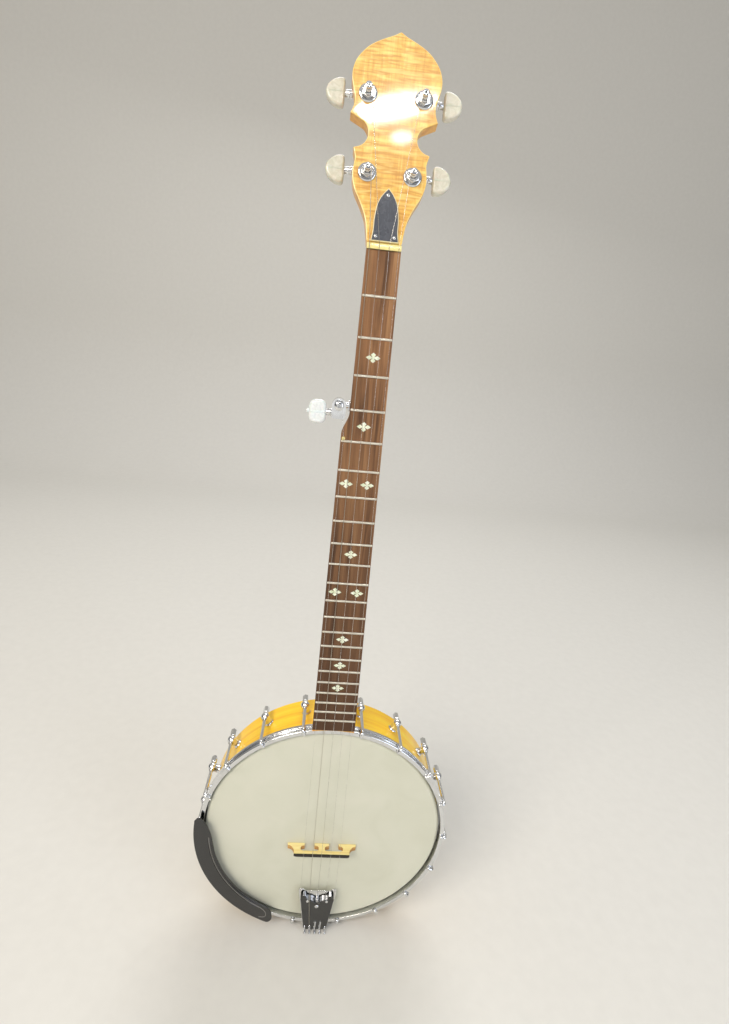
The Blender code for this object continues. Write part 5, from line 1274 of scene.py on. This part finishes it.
def tailHalf(distance):
    return tail["halfNarrow"] + (tail["halfWide"] - tail["halfNarrow"]) * distance / tail["length"]


def makeTailpiece():
    bottom = -(hoop["outer"] + tail["overhang"])
    front, length = -tail["rise"], tail["length"]
    wide = tailHalf(length)
    corners = [(tailHalf(0), 0), (wide, length - 5.6), (wide, length - 0.6), (wide - 4.2, length),
               (wide - 8.4, length - 3.4)]
    outline = mirrored([(x, bottom + z) for x, z in corners])
    outline = roundOff(outline, [1.5, 2, 1.8, 1.6, 2.5, 2.5, 1.6, 1.8, 2, 1.5], 4)
    base = slab(outline, front, front + tail["plate"], 0.45, 3)
    rimSide, hoopSide = -(rim["radius"] + seatGap), -(hoop["outer"] + seatGap)
    elbow, thick, back = flesh["back"], tail["strap"], front + tail["plate"]
    side = [(rod["depth"] + 7, rimSide), (elbow + 4, rimSide), (elbow + 0.4, hoopSide),
            (back - 0.7, hoopSide),
            (back - 0.7, hoopSide - thick), (elbow + 1, hoopSide - thick), (elbow + 5, rimSide - thick),
            (rod["depth"] + 7, rimSide - thick)]
    halfStrap = tail["strapWidth"] / 2
    put(base, stood(slab(roundOff(side, [0, 2, 2, 0, 0, 3, 3, 0], 4), -halfStrap, halfStrap, 0.3, 2)))
    pinPlaces = [(step - 2) * tail["pinSpacing"] for step in range(5)]
    # string pins with rounded heads and a waist where the loop sits
    tip = front - tail["pinRise"]
    pin = [(0, tip), (0.8, tip), (1.3, tip + 0.5), (1.3, tip + 1.1), (0.9, tip + 1.6), (0.9, front - 0.3),
           (1.3, front), (1.3, front + 0.4), (0, front + 0.4)]
    for x in pinPlaces:
        put(base, spun(pin, 20), at(x, 0, bottom + 1.7))
    makePiece("tailpieceBase", base, chrome, replaces="tailpiece_base")

    face = front - tail["coverRise"]
    start, end = bottom + tail["coverStart"], tail["coverStart"] + tail["coverLength"]
    # the cover is a little narrower than the base, whose chrome shows as a bright edge beside it
    skin, inset = tail["coverSkin"], tail["coverInset"]
    span, mouth = tailHalf(end) - inset, bottom + end
    lip = [(span, 0.0), (span - 2.6, 5.0), (13.6, 4.2), (12.0, -1.2), (7.0, -1.8), (0.0, -6.6)]
    whole = mirrored([(tailHalf(tail["coverStart"]) - inset, start)] + [(x, mouth + z) for x, z in lip])
    corners = [1.4, 1.0, 1.4, 1.4, 1.6, 2.4]
    outline = roundOff(whole, corners + [5.0] + corners[::-1], 4)
    body = makePiece("tailpieceCover", slab(outline, face, front - seatGap, 0.9, 4, "front"), blackGloss,
                     replaces="tailpiece_cover")
    room = mirrored([(tailHalf(0) - inset - skin, bottom),
                     (tailHalf(length) - inset - skin, bottom + length)])
    tools = [slab(room, face + skin, front + 2)]
    for x, reach in zip(pinPlaces, tail["loops"]):
        # a round-ended slot over each string pin
        slotEnd = start + reach + 2.5
        shape = roundOff([(x - 1.25, start - 4), (x - 1.25, slotEnd), (x + 1.25, slotEnd),
                          (x + 1.25, start - 4)],
                         [0, 1.25, 1.25, 0], 5)
        tools.append(slab(shape, face - 1, front + 2))
    cutWith(body, tools)
    # steel frame under the cover's mouth, with a post in the middle and four holes for the strings
    edge = [(span - 1.6, -12.0), (span - 1.6, -0.8), (span - 3.4, 4.1), (14.4, 3.2), (12.8, -2.1),
            (7.0, -2.7), (0.0, -7.5)]
    outline = roundOff(mirrored([(x, mouth + z) for x, z in edge]), 0.8, 3)
    shell = slab(outline, face + skin + 0.6, front + 0.1, 0.3, 2)
    post = [(0, face - 0.1), (1.1, face), (1.7, face + 0.45), (1.9, face + 1.3), (1.9, front + 0.1),
            (0, front + 0.1)]
    put(shell, spun(post, 24), at(0, 0, mouth - 3.2))
    under = makePiece("coverFrame", shell, steel)
    cutWith(under, [wire([(place * tail["pinSpacing"], front - 2.0, bottom + 3.4),
                          (place * tail["mouthSpacing"], front - 2.0, bottom + 69)], 0.8, 10)
                    for place in (-2, 0, 1, 2)])
    studs = bmesh.new()
    stud = [(0, face - 0.95), (0.9, face - 0.9), (1.6, face - 0.5), (1.95, face + 0.3), (0, face + 0.3)]
    for x in (-11.9, 11.9):
        put(studs, spun(stud, 24), at(x, 0, mouth - 2.6))
    makePiece("coverStuds", studs, chrome)
    loops = bmesh.new()
    for x, reach in zip(pinPlaces, tail["loops"]):
        # the string's loop goes up from its pin and back into the slot
        rise = [(x, front - 1.2, bottom + 1.2), (x, front - 3.0, bottom + 3.6), (x, face - 0.4, start + 1.0),
                (x, face - 0.4, start + reach), (x, front - 1.6, start + reach + 2.4)]
        put(loops, wire(smoothLine(rise, 5), 0.6, 10))
    makePiece("stringLoops", loops, chrome)
    z = bottom + tail["screwPlace"]
    dome = [(0, face - 1.2), (1.0, face - 1.1), (1.9, face - 0.75), (2.4, face - 0.2), (2.4, face + 0.4),
            (0, face + 0.4)]
    screw = makePiece("coverScrew", spun(dome, 32), chrome, frameOf=potFrame @ at(0, 0, z))
    cutWith(screw, [block((-3, face - 2, z - 0.3), (3, face - 0.65, z + 0.3))])


def arcAt(depth, places):
    # points at (radius, degrees) round the pot's centre, all at one depth
    spots = [polar(radius, -math.radians(angle)) for radius, angle in places]
    return [(p.x, depth, p.z) for p in spots]


def makeArmrest():
    inner, outer = hoop["outer"] - armrest["inner"], hoop["outer"] + armrest["outer"]
    start, end = armrest["start"], armrest["end"]
    line = [(outer, angle) for angle in spread(start, end, 14)]
    line += [(outer - 3.4, end + 1.5), (outer - 9, end + 1.6), (inner + 5.2, end - 0.4),
             (inner + 1.1, end - 2.6)]
    line += [(inner, end - 4.6 - (end - start - 18.0) * step / 12) for step in range(13)]
    line += [(inner + 0.9, start + 9.2), (inner + 3.6, start + 5.0), (inner + 7.4, start + 1.6),
             (outer - 7.6, start - 1.4), (outer - 3.2, start - 1.6)]
    ring = [(x, z) for x, _, z in arcAt(0, line)]
    low = -armrest["rise"]
    face = low - armrest["thickness"]
    rest = slab(smoothLine(ring + ring[:1], 4)[:-1], face, low, 0.8, 4)
    plate = makePiece("armrestPlate", rest, blackGloss, replaces="armrest")
    # a raised bead follows the inner edge and dies out at both ends
    beadLine = [(inner + 2.6, start + 10 + (end - start - 18) * step / 40) for step in range(41)]
    taper = [min(1.0, 0.1 + step / 5, 0.1 + (40 - step) / 5) for step in range(41)]
    cutWith(plate, [wire(arcAt(face + 0.2, beadLine), 1.3, 16, taper)], "UNION")
    # and a fine groove outside the bead
    groove = [(inner + 5.2, start + 11 + (end - start - 20) * step / 40) for step in range(41)]
    cutWith(plate, [wire(arcAt(face - 0.1, groove), 0.6, 10)])
    # a painted highlight: a pale line on the step beside the bead, which turns round the lower end
    highlightLine = [(inner + 4.3, start + 9 + (end - start - 16) * step / 30) for step in range(31)]
    highlightLine += [(inner + 6.2, end - 4.2), (inner + 10.0, end - 2.4), (outer - 7.5, end - 2.2),
               (outer - 4.2, end - 4.6)]
    makePiece("armrestPaintedHighlight", wire(smoothLine(arcAt(face + 0.15, highlightLine), 3), 0.5, 10), highlightEnamel)
    clamps = bmesh.new()
    wall = hoop["outer"] + seatGap
    lip = hoop["height"] + seatGap
    half = armrest["clampWidth"] / 2
    profile = [(low - 1.2, wall + 2), (lip + 2, wall + 2), (lip + 2, hoop["outer"] - 1.4),
               (lip, hoop["outer"] - 1.4),
               (lip, wall), (-seatGap, wall), (-seatGap, hoop["outer"] - 4.5),
               (low - 1.2, hoop["outer"] - 4.5)]
    knob = [(0, lip + 1.9), (1.2, lip + 1.9), (1.2, lip + 2.5), (0.9, lip + 2.9), (0, lip + 2.95)]
    for angle in armrest["clamps"]:
        clamp = stood(slab(roundOff(profile, [0, 1.2, 0.4, 0.3, 0.4, 0.4, 0.4, 0], 3), -half, half, 0.4, 2))
        for x in (-2.0, 2.0):
            # two small screws under each clamp
            put(clamp, spun(knob, 16), at(x, 0, wall))
        put(clamps, clamp, roundAt(-math.radians(angle)))
    makePiece("armrestClamps", clamps, chrome)


def makeBridge():
    foot = head["sink"] - seatGap
    top = head["sink"] - bridge["height"]
    barFront = top + bridge["cap"] + seatGap
    barBack = barFront + 4.0
    middle, gapEnd, hook = 9.0, bridge["footHalf"] - 21.0, bridge["hollow"]
    footFront = foot - 3.2
    wide, cap, footHalf = bridge["topHalf"], bridge["capHalf"], bridge["footHalf"]
    corners = [(middle, foot, 0.3), (middle, footFront, 1.0), (middle - hook, footFront - 1.0, 2.3),
               (middle - hook, barBack, 2.6), (gapEnd + hook, barBack, 2.6),
               (gapEnd + hook, footFront - 1.0, 2.3),
               (gapEnd, footFront, 1.0), (gapEnd, foot, 0.3), (footHalf, foot, 0.6),
               (footHalf, footFront, 1.0),
               (footHalf - 4.2, footFront - 1.0, 1.6), (wide + 0.4, barBack + 1.2, 2.2),
               (wide, barBack - 1.4, 0.8), (wide, barFront, 0.3)]
    radii = [r for _, _, r in corners]
    half = bridge["footThick"] / 2
    outline = roundOff(mirrored([(x, y) for x, y, _ in corners]), radii + radii[::-1], 5)
    wood = slab(outline, -half, half, 0.3, 2)
    # the side walls between the bar and the feet take the painted shade of the hollows
    for face in wood.faces:
        between = barFront + 0.5 < face.calc_center_median().z < foot - 0.5
        face.material_index = int(between and abs(face.normal.y) < 0.5)
    under = barFront - seatGap
    strip = [(wide, under), (wide, under - 0.8), (cap, top), (-cap, top), (-wide, under - 0.8),
             (-wide, under)]
    black = slab(roundOff(strip, [0.2, 0.5, 0.8, 0.8, 0.5, 0.2], 3), -half, half, 0.3, 2)
    for bm in (wood, black):
        # the outline was drawn flat: stand it up, and thin it towards the strings
        for vert in bm.verts:
            across, thick, depth = vert.co
            share = (foot - depth) / bridge["height"]
            thin = 1 + (bridge["topThick"] / bridge["footThick"] - 1) * share
            vert.co = (across, depth, -thick * thin - bridge["below"])
        bmesh.ops.recalc_face_normals(bm, faces=bm.faces)
    makePiece("bridgeWood", wood, [bridgeMaple, bridgeHollowShade], replaces="bridge")
    strip = makePiece("bridgeTop", black, ebony, replaces="bridge_cap")
    notches = []
    for step in range(5):
        x, z = (step - 2) * bridge["spacing"], -bridge["below"]
        notches.append(block((x - 0.22, top - 1, z - 4), (x + 0.22, top + 0.35, z + 4)))
    cutWith(strip, notches)


wrapSpacing = 0.5


def woundSteel():
    # nickel wrap wire on the bass string: fine rings, drawn further apart than real ones so that they show
    made, tree, shader, place = newMaterial("nickel wound string", {
        "Base Color": "C9C2B2", "Metallic": 1.0, "Roughness": 0.3})
    scale = math.tau * perMm(wrapSpacing)[0] / 20       # the wave repeats 20 times in tau
    rings = addNode(tree, "TexWave", {"wave_type": "BANDS", "bands_direction": "Z", "Scale": scale},
                    {"Vector": place})
    # the dark bands are painted shade between the wraps, the light bands painted highlight on them
    tree.links.new(mixed(tree, rings.outputs["Fac"], "A09A8C", "D6D1C4"), shader.inputs["Base Color"])
    bumped(tree, shader, rings.outputs["Fac"], 0.03)
    return made


def dressStrings():
    wound = woundSteel()
    for number in range(1, 6):
        for slot in nodes[f"string_{number}"].material_slots:
            slot.material = wound if number == 4 else stringSteel


makeRod()
makeTailpiece()
makeArmrest()
makeBridge()
dressStrings()
print("rod, tailpiece, armrest, bridge and strings made")
